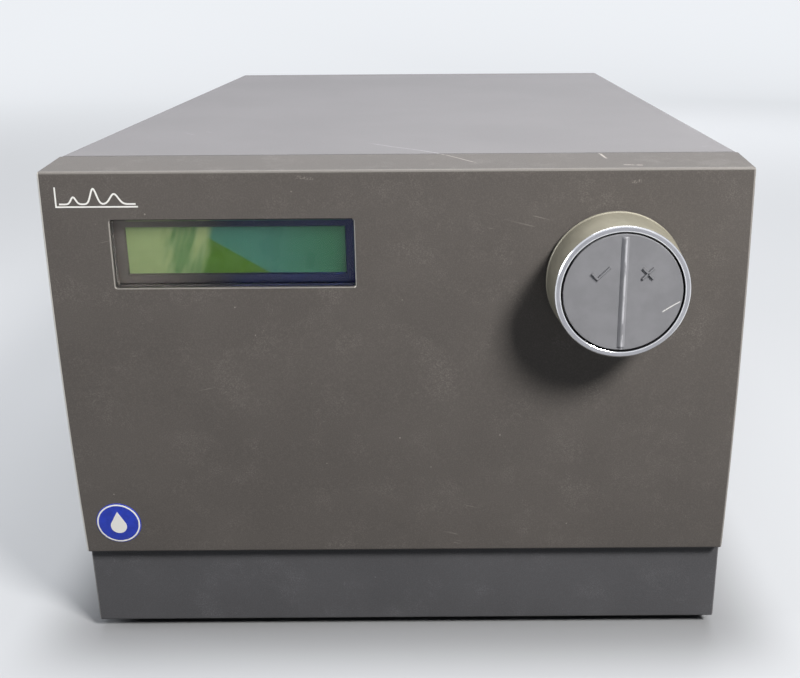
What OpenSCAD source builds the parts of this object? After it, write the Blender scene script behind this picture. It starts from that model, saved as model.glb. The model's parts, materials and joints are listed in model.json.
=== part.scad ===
// Bench UV absorbance monitor: sheet-steel case, convex front bezel with a display window,
// a turning selector ring round a rocking OK / Esc key disc, and an optical bench inside.
// Millimetres. +X is to the right seen from the front, +Y runs to the back, +Z is up.
// The origin lies on the surface that the feet stand on, under the middle of the whole object.

/* [Case] */
// Width of the case
case_w = 262; // [258:1:280]
// Depth of the case, from the bezel's upper edge to the rear panel
case_d = 410; // [400:1:440]
// Height of the case above its own underside
case_h = 194.4; // [190:0.2:210]
// Height of the rubber feet
foot_h = 4; // [3:0.5:10]
// Radius of a foot
foot_r = 9; // [7:0.5:12]
// Distance of the foot centres from the sides of the case
foot_inset_x = 24; // [20:1:40]
// Distance of the foot centres from the front and back of the case
foot_inset_y = 40; // [36:1:50]
// Sheet thickness of the cover
cover_t = 1.2; // [1:0.1:1.6]
// Radius of the bends along the cover's upper edges
cover_r = 2; // [1.7:0.1:4]
// Sheet thickness of the base tray and the front plate
chassis_t = 1.2; // [1:0.1:1.6]
// Height of the base tray's side walls
tray_wall_h = 25; // [20:1:30]
// Sheet thickness of the rear panel
panel_t = 1.5; // [1.2:0.1:2]
// Depth of the folded edge round the rear panel
panel_fold = 12; // [10:1:15]

/* [Front bezel] */
// Depth of the bezel, from its front edge back to the cover
bezel_d = 25; // [25:0.5:30]
// Wall thickness of the bezel
bezel_wall = 3; // [2.5:0.1:3.4]
// Fall of the bezel's top from the cover to its front edge
bezel_drop = 1.9; // [0:0.1:3]
// Outward bulge of the bezel's face at mid height
face_bulge = 2.75; // [1:0.05:3]
// Height of the bezel's lower edge above the case's underside
plinth_h = 35.3; // [30:0.1:40]
// Distance that the plinth stands back behind the bezel
plinth_set = 3.6; // [2:0.1:5]
// Wall thickness of the plinth
plinth_wall = 2.5; // [2:0.1:3]
// Open gap between the plinth and the bezel above it
shadow_gap = 1; // [0.5:0.1:1.5]
// Radius of the screw bosses inside the bezel and the plinth
boss_r = 4; // [3.5:0.1:5]
// Distance of the bezel's bosses from its sides
boss_inset = 7.5; // [7.5:0.1:8]
// Distance of the bezel's bosses from its upper and lower edges
boss_inset_z = 11; // [10:0.5:12]

/* [Display] */
// Distance of the display opening's centre from the case's left side
display_in = 70; // [68:1:71]
// Distance of the display opening's centre below the case's top
display_down = 32.6; // [31.4:0.2:35.4]
// Width of the display opening
display_w = 90; // [86:0.5:94]
// Height of the display opening
display_h = 25.6; // [22:0.2:28]
// Thickness of the clear window
window_t = 2; // [1.5:0.1:2.5]
// Depth of the window's face below the face of the bezel
window_sink = 0.4; // [0.2:0.1:0.6]
// Lap of the window behind the bezel on every side
window_lap = 3; // [2:0.5:4]
// Width of the display module's board
lcd_board_w = 116; // [114:1:118]
// Height of the display module's board
lcd_board_h = 37; // [36:0.5:40]
// Width of the display module's steel frame
lcd_frame_w = 93; // [91:1:101]
// Height of the display module's steel frame
lcd_frame_h = 26; // [24:0.5:27]
// Depth of the display module's steel frame
lcd_frame_d = 7; // [6:0.5:8]
// Width of the visible part of the display glass
lcd_view_w = 83; // [80:1:88]
// Height of the visible part of the display glass
lcd_view_h = 18.6; // [16:0.2:21]
// Radius of the round badge
badge_r = 9.1; // [7:0.1:12]
// Distance of the badge's centre from the case's left side
badge_in = 14.9; // [13:0.1:31]
// Centre of the badge, above the case's underside
badge_z = 49.4; // [46:0.2:70]

/* [Selector knob] */
// Distance of the knob's centre from the case's right side
knob_in = 50.2; // [45:0.2:57]
// Distance of the knob's centre below the case's top
knob_down = 42.8; // [39.4:0.2:49.4]
// Reach of the knob in front of its seat on the bezel
knob_out = 19; // [18:0.5:24]
// Radius of the ring at its front rim
knob_r = 24.3; // [24:0.1:26]
// Radius of the ring at its base
knob_base_r = 25.8; // [25:0.1:27]
// Width of the rim round the key disc
rim_w = 2.1; // [1.8:0.1:2.6]
// Chamfer on the rim's outer edge
rim_chamfer = 0.5; // [0.4:0.1:1.2]
// Radial gap between the rim and the key disc
key_gap = 0.5; // [0.4:0.05:0.8]
// Depth of the key disc's face below the rim
key_sink = 0.1; // [0:0.05:1]
// Thickness of the key disc
key_t = 2.5; // [2:0.1:3]
// Width of the raised rib across the key disc
rib_w = 2.4; // [2:0.1:4]
// Height of the raised rib
rib_h = 0.8; // [0.4:0.1:0.8]
// Rock of the key disc to either side, in degrees
rock_deg = 2.5; // [2:0.25:3]
// Outer radius of the fixed post that the ring turns on
post_r = 15; // [14.5:0.1:15.5]
// Wall thickness of the post
post_wall = 2.2; // [1.8:0.1:2.4]
// Wall thickness of the ring's inner sleeve
sleeve_wall = 2.4; // [2:0.1:2.6]
// Radius of the key disc's pivot pin
key_pin_r = 1.5; // [1:0.1:1.7]
// Distance of the switch plungers from the pivot
plunger_off = 8.6; // [8.4:0.1:8.8]
// Radius of a switch plunger
plunger_r = 1.7; // [1.4:0.1:1.8]
// Radius of the slotted encoder wheel
encoder_r = 24; // [23.5:0.1:25]
// Number of slots in the encoder wheel
encoder_slots = 24; // [12:2:36]

/* [Rear panel] */
// Distance of the mains inlet module's centre from the case's left side
inlet_in = 31; // [29:1:37]
// Centre of the mains inlet module, above the case's underside
inlet_z = 72; // [68:1:80]
// Width of the mains inlet module behind the panel
inlet_w = 28; // [28:0.5:30]
// Height of the mains inlet module behind the panel
inlet_h = 70; // [70:0.5:74]
// Depth of the mains inlet module behind the panel
inlet_d = 38; // [36:1:44]
// Width of the inlet module's flange beyond its body
inlet_rim = 3; // [2:0.5:4]
// Pull of the fuse drawer
drawer_pull = 24; // [18:1:26]
// Throw of the power rocker, in degrees
rocker_deg = 16; // [10:1:18]
// Side of the square fan
fan_w = 80; // [70:1:82]
// Depth of the fan
fan_d = 25; // [20:1:30]
// Distance of the fan's centre from the case's right side
fan_in = 59; // [55:1:61]
// Distance of the fan's centre below the case's top
fan_down = 56.4; // [54.4:1:59.4]
// Bore radius of a fibre port
fibre_bore_r = 1.6; // [1.2:0.1:2]
// Reach of the fibre ports behind the rear panel
fibre_out = 10; // [8:0.5:14]
// Distance of the nearer fibre port from the optical base's left edge
fibre_in = 20; // [16:1:26]
// Spacing of the fibre ports
fibre_pitch = 26; // [20:1:34]
// Height of the fibre ports above the case's underside
fibre_z = 58; // [52:1:64]
// Number of data ports
port_count = 3; // [1:1:3]
// Distance of the first data port from the middle of the case
port_off = 78; // [74:1:82]
// Distance of the data ports below the case's top
port_down = 44.4; // [40:0.2:50]
// Spacing of the data ports
port_pitch = 36; // [34:1:37]
// Spacing of the two jack screws of a port
jack_pitch = 24.99; // [24.9:0.01:25.1]
// Bore radius of a jack screw
jack_bore_r = 1.42; // [1.2:0.01:1.5]

/* [Boards] */
// Thickness of the circuit boards
board_t = 1.6; // [1:0.1:2]
// Height of the stand-offs under the boards
standoff_h = 8; // [6:0.5:10]
// Gap between the boards and the cover's inner face, and beside the optical base
wall_gap = 8; // [6:0.5:10]
// Half the width of the gangway between the boards and the optical base
bay_gap = 9.3; // [8:0.1:12]
// Length of the main board
main_l = 180; // [150:1:185]
// Width of the power supply board
psu_w = 75; // [70:1:80]
// Length of the power supply board
psu_l = 100; // [90:1:104]

/* [Optical bench] */
// Length of the optical base
bench_l = 240; // [236:1:250]
// Thickness of the optical base
bench_t = 8; // [6:0.5:10]
// Height of the rubber isolators under the optical base
isolator_h = 14; // [10:0.5:16]
// Height of the light-tight cover over the bench
hood_h = 66; // [64:1:72]
// Sheet thickness of the light-tight cover
hood_t = 1; // [0.8:0.1:1.5]
// Height of the light path above the optical base
beam_h = 26; // [25:0.5:28]
// Radius of the flash lamp
lamp_r = 13; // [11:0.5:14]
// Radius of the condenser lens
lens_r = 10; // [8:0.5:12]
// Radius of the concave mirror
mirror_r = 20; // [16:0.5:22]
// Side of the square diffraction grating
grating_w = 28; // [24:1:32]
// Turn of the grating to either side, in degrees
grating_deg = 12; // [8:1:12]
// Module of the grating drive's gear teeth
gear_m = 0.8; // [0.75:0.05:0.85]
// Teeth that the whole sector wheel would have
sector_teeth = 80; // [76:2:84]
// Teeth on the motor pinion
pinion_teeth = 18; // [16:1:20]

/* [Hidden] */
$fn = 64;
run_gap = 0.05;     // radial play of a turning or sliding fit
seat_gap = 0.2;     // play between pieces that seat on each other
clear_gap = 0.5;    // clearance of pieces that pass each other
seam = 0.6;         // visible seam between the outer shells
cut = 1;            // overshoot of a cutting shape past a face

half_w = case_w / 2;
cover_in_r = max(cover_r - cover_t, 0.5);
z_base = foot_h;
z_top = z_base + case_h;
z_bezel = z_base + plinth_h;
z_bezel_front = z_top - bezel_drop;
z_mid = (z_bezel + z_bezel_front) / 2;
face_half = (z_bezel_front - z_bezel) / 2;
face_r = (face_half * face_half + face_bulge * face_bulge) / (2 * face_bulge);
z_knob = z_top - knob_down;
knob_x = half_w - knob_in;
z_display = z_top - display_down;
display_x = -half_w + display_in;
badge_x = -half_w + badge_in;
// Reach of the curved face in front of its chord at height z
function bulge(z) = sqrt(face_r * face_r - (z - z_mid) * (z - z_mid)) - face_r + face_bulge;
pad_out = face_bulge + clear_gap;
rib_out = max(0, rib_h - key_sink);
y_front = -(case_d + fibre_out - rib_out - knob_out - pad_out) / 2;
y_back = y_front + case_d;
y_cover = y_front + bezel_d;
y_plate = y_cover - seam;
y_floor = y_plate + chassis_t;
y_panel = y_back - panel_t;
x_in = half_w - cover_t - clear_gap;
z_floor = z_base + chassis_t;

// Knob: depths are measured back from the rim's front face
y_rim = y_front - pad_out - knob_out;
pad_r = knob_base_r + clear_gap;
rim_in_r = knob_r - rim_w;
key_r = rim_in_r - key_gap;
y_key = y_rim + key_sink;
y_key_back = y_key + key_t;
lug_w = 4;
lug_off = 7;
post_in_r = post_r - post_wall;
y_post = y_key_back + clear_gap + post_r * tan(rock_deg);
y_pivot = y_post + key_pin_r + 1.2;
switch_w = 6;
switch_t = 3.5;
y_switch = y_pivot + 3.6;
y_shelf = y_switch + switch_t;
shelf_t = 2;
y_pad = y_front - pad_out;
hub_bore_r = post_r + run_gap;
sleeve_r = hub_bore_r + sleeve_wall;
hole_r = sleeve_r + clear_gap;
web_t = 2.5;
y_web = y_key_back + 5;
y_pad_in = y_front + 1;
clip_t = 1.2;
clip_groove = 0.9;
y_clip = y_pad_in + clear_gap;
encoder_t = 1;
y_encoder = y_clip + clip_t + 3.5;
y_sleeve_end = y_encoder + encoder_t + 1.5;
flange_r = 18;
flange_t = 2;
front_standoff = 4;
y_fboard = y_plate - front_standoff - board_t;
y_flange = y_fboard - flange_t;
fboard_half_w = 34;
fboard_half_h = 34;

// Display stack
y_window = y_front + 2;
y_lcd_frame = y_window + window_t + seat_gap;
y_lcd_board = y_lcd_frame + lcd_frame_d;
glass_t = 2.8;
window_gap = 0.4;
lcd_lip = 1;
lcd_boss_x = lcd_board_w / 2 - 3.5;
lcd_boss_z = lcd_board_h / 2 - 3.5;

// Screws
screw_r = 1.5;
tap_r = screw_r + run_gap;
pass_r = screw_r + seat_gap;
screw_head_r = 2.9;
screw_head_h = 1.8;
screw_len = 6;
boss_x = half_w - boss_inset;
boss_zs = [z_bezel + boss_inset_z, z_bezel_front - boss_inset_z];
plinth_boss_z = z_base + plinth_h / 2;
plinth_boss_xs = [-half_w + 3 * boss_inset, half_w - 3 * boss_inset];
cover_screw_ys = [y_floor + 30, (y_floor + y_panel) / 2, y_panel - 30];
cover_screw_z = z_floor + tray_wall_h / 2;
feet_xs = [-half_w + foot_inset_x, half_w - foot_inset_x];
feet_ys = [y_front + foot_inset_y, y_back - foot_inset_y];

// Boards
z_main = z_floor + standoff_h;
x_main = -x_in + wall_gap;
main_w = x_in - wall_gap - bay_gap;
y_main = y_floor + 2;
y_psu = y_main + main_l + 8;
big_cap_r = 9;
big_cap_h = 32;
small_cap_r = 5;
small_cap_h = 20;
y_big_cap = y_psu + psu_l - big_cap_r - 11;
y_small_cap = y_psu + small_cap_r + 17;
standoff_r = 2.8;
board_edge = 8;
io_gap = 9;
io_half_h = 22;
header_h = 9;
header_w = 30;
header_t = 6;
ribbon_t = 1;
ribbon_w = 26;
x_ribbon_main = -38;
z_header = z_knob - fboard_half_h + 7;
z_main_header = z_main + board_t + header_h;
z_ribbon_turn = z_main_header + 36;
y_ribbon = y_main + 3.5;
port_xs = [for (i = [0:port_count - 1]) -port_off + i * port_pitch];
z_port = z_top - port_down;

// Rear panel pieces
inlet_x = -half_w + inlet_in;
z_inlet = z_base + inlet_z;
fan_x = half_w - fan_in;
z_fan = z_top - fan_down;
z_fibre = z_base + fibre_z;
fibre_xs = [bay_gap + fibre_in, bay_gap + fibre_in + fibre_pitch];
fan_bore = fan_w / 2 - 1.8;
fan_hub_r = 17;
fan_screw_off = fan_w / 2 - 4.25;
y_fan = y_panel - fan_d;
rocker_w = 12;
rocker_h = 20;
rocker_up = inlet_h / 2 - 13;
socket_w = 24;
socket_h = 16.5;
socket_d = 20;
drawer_w = 22;
drawer_h = 12;
drawer_d = 26;
drawer_down = -inlet_h / 2 + 9;
flange_out = 2.5;
y_flange_out = y_back + flange_out;
trunnion_r = 1.5;
y_rocker = y_flange_out - 5;
rocker_face = 5.5;
rocker_well = 10;
tab_w = 20;
tab_h = 16;
panel_screw_x = half_w - 50;
panel_screw_zs = [z_floor + 9];
fibre_body_r = 3.2;
fibre_nut_r = 4.6;
lead_core_r = 0.8;
lead_r = 1.5;
fan_shaft_r = 1.5;

// Optical bench
x_bench = bay_gap;
bench_w = x_in - wall_gap - bay_gap;
y_bench = y_floor + 40;
z_bench = z_floor + isolator_h;
z_optic = z_bench + bench_t;
z_beam = z_optic + beam_h;
grating_x = x_bench + 36;
grating_y = y_bench + 140;
pitch_r = gear_m * sector_teeth / 2;
pinion_r = gear_m * pinion_teeth / 2;
gear_play = 0.12;
motor_y = grating_y + pitch_r + pinion_r + gear_play;
motor_w = 28;
motor_h = 31;
motor_shaft_r = 2.5;
shaft_in = 10;
z_gear = z_optic + motor_h + 14;
gear_t = 4;
shaft_r = 3;
lamp_x = x_bench + bench_w - lamp_r - 12;
lamp_y = y_bench + bench_l - 56;
lamp_l = 42;
lens_y = lamp_y - 12;
upright_t = 8;
mirror_x = (grating_x + lamp_x) / 2;
mirror_back = y_bench + 20;
grating_t = 6;
table_t = 3;
z_table = z_beam - grating_w / 2 - table_t;
isolator_r = 7;
y_hood_back = y_bench + bench_l;

// ---------- Shared shapes ----------

// Box between two opposite corners
module block(lo, hi) {
    translate(lo) cube(hi - lo);
}

// Round bar along Y, X or Z between two ends
module rod_y(x, z, y0, y1, r) {
    translate([x, y0, z]) rotate([-90, 0, 0]) cylinder(h = y1 - y0, r = r);
}
module rod_x(y, z, x0, x1, r) {
    translate([x0, y, z]) rotate([0, 90, 0]) cylinder(h = x1 - x0, r = r);
}
module rod_z(x, y, z0, z1, r) {
    translate([x, y, z0]) cylinder(h = z1 - z0, r = r);
}

// Cone along Y with its own radius at each end
module cone_y(x, z, y0, y1, r0, r1) {
    translate([x, y0, z]) rotate([-90, 0, 0]) cylinder(h = y1 - y0, r1 = r0, r2 = r1);
}

// Pan-head screw: the head lies past the seat on the side that dir points to
module screw_y(x, z, y_seat, dir, len = screw_len) {
    y_tip = y_seat - dir * len;
    y_head = y_seat + dir * screw_head_h;
    rod_y(x, z, min(y_seat, y_tip), max(y_seat, y_tip), screw_r);
    rod_y(x, z, min(y_seat, y_head), max(y_seat, y_head), screw_head_r);
}

// Countersunk screw in the cover's side s, grown by gap, with a shank len long
module countersunk_x(s, y, gap, len) {
    translate([s * half_w, y, cover_screw_z]) rotate([0, -s * 90, 0]) {
        cylinder(h = cover_t, r1 = screw_head_r + gap, r2 = screw_r + gap);
        cylinder(h = len, r = screw_r + gap);
    }
}

// Board standing on its lower face, with a round hole near each corner
module board_z(x0, y0, z0, w, l) {
    difference() {
        block([x0, y0, z0], [x0 + w, y0 + l, z0 + board_t]);
        for (x = [x0 + board_edge, x0 + w - board_edge], y = [y0 + board_edge, y0 + l - board_edge])
            rod_z(x, y, z0 - cut, z0 + board_t + cut, pass_r);
    }
}

// Four stand-offs from the tray's floor up to a board's underside
module standoffs_z(x0, y0, w, l) {
    for (x = [x0 + board_edge, x0 + w - board_edge], y = [y0 + board_edge, y0 + l - board_edge])
        difference() {
            rod_z(x, y, z_floor, z_main, standoff_r);
            rod_z(x, y, z_floor + cut, z_main + cut, tap_r);
        }
}

// Radial half angle of an involute tooth at radius r, for n teeth
function involute_deg(a) = (tan(a) - a * PI / 180) * 180 / PI;
function tooth_half(n, r) = let (
        rp = gear_m * n / 2,
        rb = rp * cos(20),
        a = acos(min(1, rb / max(r, rb))))
    90 / n + involute_deg(20) - involute_deg(a) - 0.05 / rp * 180 / PI;

// One tooth's outline, centred on the angle mid
function tooth(n, mid) = let (
        rp = gear_m * n / 2,
        low = rp - 1.15 * gear_m,
        high = rp + 0.85 * gear_m,
        rs = [for (i = [0:4]) low + (high - low) * i / 4])
    concat(
        [for (r = rs) let (a = mid - tooth_half(n, r)) [r * cos(a), r * sin(a)]],
        [for (i = [4:-1:0]) let (r = rs[i], a = mid + tooth_half(n, r)) [r * cos(a), r * sin(a)]]);

// Outline of count teeth of an n-tooth wheel, the first centred on the angle start
module teeth(n, count, start) {
    polygon(concat([[0, 0]], [for (i = [0:count - 1]) each tooth(n, start + i * 360 / n)]));
}

// ---------- Outer shells ----------

// Cover's outer or inner form: square below, with its two upper edges rounded
module cover_form(inset, r, y0, y1, z0) {
    w = half_w - inset;
    z1 = z_top - inset;
    block([-w, y0, z0], [w, y1, z1 - r]);
    block([-w + r, y0, z0], [w - r, y1, z1]);
    for (s = [-1, 1]) rod_y(s * (w - r), z1 - r, y0, y1, r);
}

module top_cover() {
    color([0.5, 0.49, 0.5]) difference() {
        cover_form(0, cover_r, y_cover, y_back, z_base);
        cover_form(cover_t, cover_in_r, y_cover - cut, y_back + cut, z_base - cut);
        for (s = [-1, 1], y = cover_screw_ys)
            countersunk_x(s, y, seat_gap, 2 * cover_t);
    }
}

// Bezel's convex form, its walls moved in by inset
module bezel_form(inset, y1) {
    intersection() {
        translate([-half_w + inset, 0, 0]) rotate([90, 0, 90]) linear_extrude(case_w - 2 * inset)
            polygon([
                [y_front - 2 * face_bulge, z_bezel + inset],
                [y_front - 2 * face_bulge, z_bezel_front - inset],
                [y_front, z_bezel_front - inset],
                [y_cover - seam, z_top - inset],
                [y1, z_top - inset],
                [y1, z_bezel + inset]]);
        translate([0, y_front - face_bulge + face_r, z_mid]) rotate([0, 90, 0])
            cylinder(h = case_w + 2, r = face_r - inset, center = true, $fn = 256);
    }
}

module front_bezel() {
    y_end = y_cover - seam;
    lcd_in_w = display_w + 2 * window_lap;
    lcd_in_h = display_h + 2 * window_lap;
    color([0.33, 0.32, 0.31]) difference() {
        union() {
            difference() {
                bezel_form(0, y_end);
                bezel_form(bezel_wall, y_end + cut);
            }
            // corner bosses that reach the front plate
            for (s = [-1, 1], z = boss_zs) rod_y(s * boss_x, z, y_front, y_plate, boss_r);
            // round seat under the knob, thickened inside
            rod_y(knob_x, z_knob, y_pad, y_pad_in, pad_r);
            // flat frame behind the display opening, and the display board's four bosses
            block([display_x - lcd_in_w / 2 - 2, y_front, z_display - lcd_in_h / 2 - 2],
                [display_x + lcd_in_w / 2 + 2, y_window + window_t, z_display + lcd_in_h / 2 + 2]);
            for (sx = [-1, 1], sz = [-1, 1])
                rod_y(display_x + sx * lcd_boss_x, z_display + sz * lcd_boss_z, y_front, y_lcd_board,
                    boss_r - 1);
        }
        block([display_x - display_w / 2, y_front - 2 * face_bulge, z_display - display_h / 2],
            [display_x + display_w / 2, y_window + cut, z_display + display_h / 2]);
        block([display_x - lcd_in_w / 2 - seat_gap, y_window, z_display - lcd_in_h / 2 - seat_gap],
            [display_x + lcd_in_w / 2 + seat_gap, y_lcd_board, z_display + lcd_in_h / 2 + seat_gap]);
        rod_y(knob_x, z_knob, y_pad - cut, y_pad_in + cut, hole_r);
        // flat face inside, for the retaining ring
        rod_y(knob_x, z_knob, y_pad_in, y_clip + clip_t + bezel_wall, pad_r);
        for (s = [-1, 1], z = boss_zs)
            rod_y(s * boss_x, z, y_plate + chassis_t - screw_len - cut, y_plate + cut, tap_r);
        for (sx = [-1, 1], sz = [-1, 1])
            rod_y(display_x + sx * lcd_boss_x, z_display + sz * lcd_boss_z,
                y_lcd_board + board_t - screw_len - cut, y_lcd_board + cut, tap_r);
    }
}

module front_plinth() {
    y0 = y_front + plinth_set;
    z1 = z_bezel - shadow_gap;
    color([0.32, 0.31, 0.32]) difference() {
        union() {
            difference() {
                block([-half_w, y0, z_base], [half_w, y_cover - seam, z1]);
                block([-half_w + plinth_wall, y0 + plinth_wall, z_base + plinth_wall],
                    [half_w - plinth_wall, y_cover, z1 - plinth_wall]);
            }
            for (x = plinth_boss_xs) rod_y(x, plinth_boss_z, y0 + 1, y_plate, boss_r);
        }
        for (x = plinth_boss_xs)
            rod_y(x, plinth_boss_z, y_plate + chassis_t - screw_len - cut, y_plate + cut, tap_r);
    }
}

module front_badge() {
    color([0.15, 0.25, 0.65]) intersection() {
        rod_y(badge_x, z_base + badge_z, y_front - face_bulge - cut, y_front, badge_r);
        translate([0, y_front - face_bulge + face_r, z_mid]) rotate([0, 90, 0]) difference() {
            cylinder(h = case_w, r = face_r + 0.5, center = true, $fn = 256);
            cylinder(h = case_w + 2, r = face_r, center = true, $fn = 256);
        }
    }
}

// Steel plate that closes the bezel, with a folded foot on the tray
module front_plate() {
    foot_y = 6;
    color([0.72, 0.73, 0.74]) difference() {
        union() {
            block([-x_in, y_plate, z_floor], [x_in, y_plate + chassis_t, z_top - cover_t - clear_gap]);
            block([-x_in + chassis_t + clear_gap, y_plate, z_floor],
                [x_in - chassis_t - clear_gap, y_plate + foot_y, z_floor + chassis_t]);
        }
        for (s = [-1, 1], z = boss_zs)
            rod_y(s * boss_x, z, y_plate - cut, y_plate + chassis_t + cut, pass_r);
        for (x = plinth_boss_xs)
            rod_y(x, plinth_boss_z, y_plate - cut, y_plate + chassis_t + cut, pass_r);
        // way through for the front board's header
        block([knob_x - header_w / 2 - 1, y_plate - cut, z_header - header_t / 2 - 1],
            [knob_x + header_w / 2 + 1, y_plate + chassis_t + cut, z_header + header_t / 2 + 1]);
    }
}

module chassis_tray() {
    slot_n = 14;
    slot_w = 3;
    color([0.7, 0.71, 0.72]) difference() {
        union() {
            block([-x_in, y_plate, z_base], [x_in, y_panel, z_floor]);
            for (s = [-1, 1])
                block([s > 0 ? x_in - chassis_t : -x_in, y_floor, z_base],
                    [s > 0 ? x_in : -x_in + chassis_t, y_panel - panel_fold - clear_gap,
                    z_floor + tray_wall_h]);
            for (s = [-1, 1])
                block([s * panel_screw_x - tab_w / 2, y_panel - chassis_t, z_base],
                    [s * panel_screw_x + tab_w / 2, y_panel, z_floor + tab_h]);
        }
        // air slots under the optical bench
        for (i = [0:slot_n - 1])
            block([x_bench + 20, y_bench + 60 + i * 9, z_base - cut],
                [x_bench + bench_w - 20, y_bench + 60 + i * 9 + slot_w, z_floor + cut]);
        for (x = feet_xs, y = feet_ys) rod_z(x, y, z_base - cut, z_floor + cut, pass_r);
        for (s = [-1, 1], y = cover_screw_ys)
            rod_x(y, cover_screw_z, s * x_in - 2 * chassis_t, s * x_in + 2 * chassis_t, tap_r);
        for (s = [-1, 1], z = panel_screw_zs)
            rod_y(s * panel_screw_x, z, y_panel - chassis_t - cut, y_panel + cut, tap_r);
    }
}

module feet() {
    recess_r = screw_head_r + 1;
    color([0.08, 0.08, 0.08]) for (x = feet_xs, y = feet_ys) difference() {
        rod_z(x, y, 0, z_base, foot_r);
        rod_z(x, y, -cut, screw_head_h + 0.2, recess_r);
        rod_z(x, y, 0, z_base + cut, pass_r);
    }
}

module foot_screws() {
    z_seat = screw_head_h + 0.2;
    nut_h = 2;
    color([0.75, 0.75, 0.76]) for (x = feet_xs, y = feet_ys) {
        rod_z(x, y, z_seat, z_floor + nut_h + 0.5, screw_r);
        rod_z(x, y, z_floor, z_floor + nut_h, screw_head_r);
        rod_z(x, y, z_seat - screw_head_h, z_seat, screw_head_r);
    }
}

module cover_screws() {
    color([0.2, 0.2, 0.2]) for (s = [-1, 1], y = cover_screw_ys) countersunk_x(s, y, 0, screw_len);
}

module bezel_screws() {
    y_seat = y_plate + chassis_t;
    color([0.78, 0.78, 0.79]) {
        for (s = [-1, 1], z = boss_zs) screw_y(s * boss_x, z, y_seat, 1);
        for (x = plinth_boss_xs) screw_y(x, plinth_boss_z, y_seat, 1);
        for (sx = [-1, 1], sz = [-1, 1])
            screw_y(display_x + sx * lcd_boss_x, z_display + sz * lcd_boss_z, y_lcd_board + board_t, 1);
    }
}

// ---------- Display ----------

// Clear pane: its raised middle fills the opening and follows the bezel's curve, its edge laps behind
module display_window() {
    w = display_w / 2 + window_lap;
    h = display_h / 2 + window_lap;
    in_w = display_w / 2 - window_gap;
    in_h = display_h / 2 - window_gap;
    color([0.6, 0.65, 0.6, 0.5]) union() {
        block([display_x - w, y_window, z_display - h], [display_x + w, y_window + window_t, z_display + h]);
        intersection() {
            bezel_form(window_sink, y_cover);
            block([display_x - in_w, y_front - 2 * face_bulge, z_display - in_h],
                [display_x + in_w, y_window + cut, z_display + in_h]);
        }
    }
}

module lcd_board() {
    color([0.1, 0.35, 0.2]) difference() {
        block([display_x - lcd_board_w / 2, y_lcd_board, z_display - lcd_board_h / 2],
            [display_x + lcd_board_w / 2, y_lcd_board + board_t, z_display + lcd_board_h / 2]);
        for (sx = [-1, 1], sz = [-1, 1])
            rod_y(display_x + sx * lcd_boss_x, z_display + sz * lcd_boss_z, y_lcd_board - cut,
                y_lcd_board + board_t + cut, pass_r);
    }
}

module lcd_frame() {
    w = lcd_frame_w / 2;
    h = lcd_frame_h / 2;
    color([0.15, 0.15, 0.16]) difference() {
        block([display_x - w, y_lcd_frame, z_display - h], [display_x + w, y_lcd_board, z_display + h]);
        block([display_x - w + lcd_lip, y_lcd_frame + lcd_lip, z_display - h + lcd_lip],
            [display_x + w - lcd_lip, y_lcd_board + cut, z_display + h - lcd_lip]);
        block([display_x - lcd_view_w / 2, y_lcd_frame - cut, z_display - lcd_view_h / 2],
            [display_x + lcd_view_w / 2, y_lcd_frame + 2 * lcd_lip, z_display + lcd_view_h / 2]);
    }
}

module lcd_glass() {
    w = lcd_frame_w / 2 - lcd_lip - seat_gap;
    h = lcd_frame_h / 2 - lcd_lip - seat_gap;
    color([0.35, 0.5, 0.3])
        block([display_x - w, y_lcd_frame + lcd_lip, z_display - h],
            [display_x + w, y_lcd_frame + lcd_lip + glass_t, z_display + h]);
}

// ---------- Selector knob and its keys ----------

module knob_ring() {
    y_base = y_pad - clear_gap;
    wall_in = knob_base_r - rim_w - 0.4;
    color([0.68, 0.66, 0.6]) difference() {
        union() {
            cone_y(knob_x, z_knob, y_rim, y_rim + rim_chamfer, knob_r - rim_chamfer, knob_r);
            cone_y(knob_x, z_knob, y_rim + rim_chamfer, y_base, knob_r, knob_base_r);
            rod_y(knob_x, z_knob, y_web, y_sleeve_end, sleeve_r);
        }
        rod_y(knob_x, z_knob, y_rim - cut, y_web, rim_in_r);
        rod_y(knob_x, z_knob, y_rim - cut, y_sleeve_end + cut, hub_bore_r);
        difference() {
            rod_y(knob_x, z_knob, y_web + web_t, y_base + cut, wall_in);
            rod_y(knob_x, z_knob, y_web, y_base + 2 * cut, sleeve_r);
        }
        difference() {
            rod_y(knob_x, z_knob, y_clip - run_gap, y_clip + clip_t + run_gap, sleeve_r + cut);
            rod_y(knob_x, z_knob, y_clip - cut, y_clip + clip_t + cut, sleeve_r - clip_groove);
        }
    }
}

// Open retaining ring in the sleeve's groove, behind the bezel
module ring_clip() {
    mouth = 12;
    in_r = sleeve_r - clip_groove + run_gap;
    out_r = sleeve_r + 2.4;
    color([0.55, 0.56, 0.58]) difference() {
        rod_y(knob_x, z_knob, y_clip, y_clip + clip_t, out_r);
        rod_y(knob_x, z_knob, y_clip - cut, y_clip + clip_t + cut, in_r);
        block([knob_x - mouth / 2, y_clip - cut, z_knob - out_r - cut],
            [knob_x + mouth / 2, y_clip + clip_t + cut, z_knob]);
    }
}

module encoder_wheel() {
    slot_w = 1.6;
    slot_in = encoder_r - 5;
    slot_out = encoder_r - 1.2;
    color([0.12, 0.12, 0.13]) difference() {
        rod_y(knob_x, z_knob, y_encoder, y_encoder + encoder_t, encoder_r);
        rod_y(knob_x, z_knob, y_encoder - cut, y_encoder + encoder_t + cut, sleeve_r + run_gap);
        for (i = [0:encoder_slots - 1])
            translate([knob_x, 0, z_knob]) rotate([0, i * 360 / encoder_slots, 0])
                block([slot_in, y_encoder - cut, -slot_w / 2],
                    [slot_out, y_encoder + encoder_t + cut, slot_w / 2]);
    }
}

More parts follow.
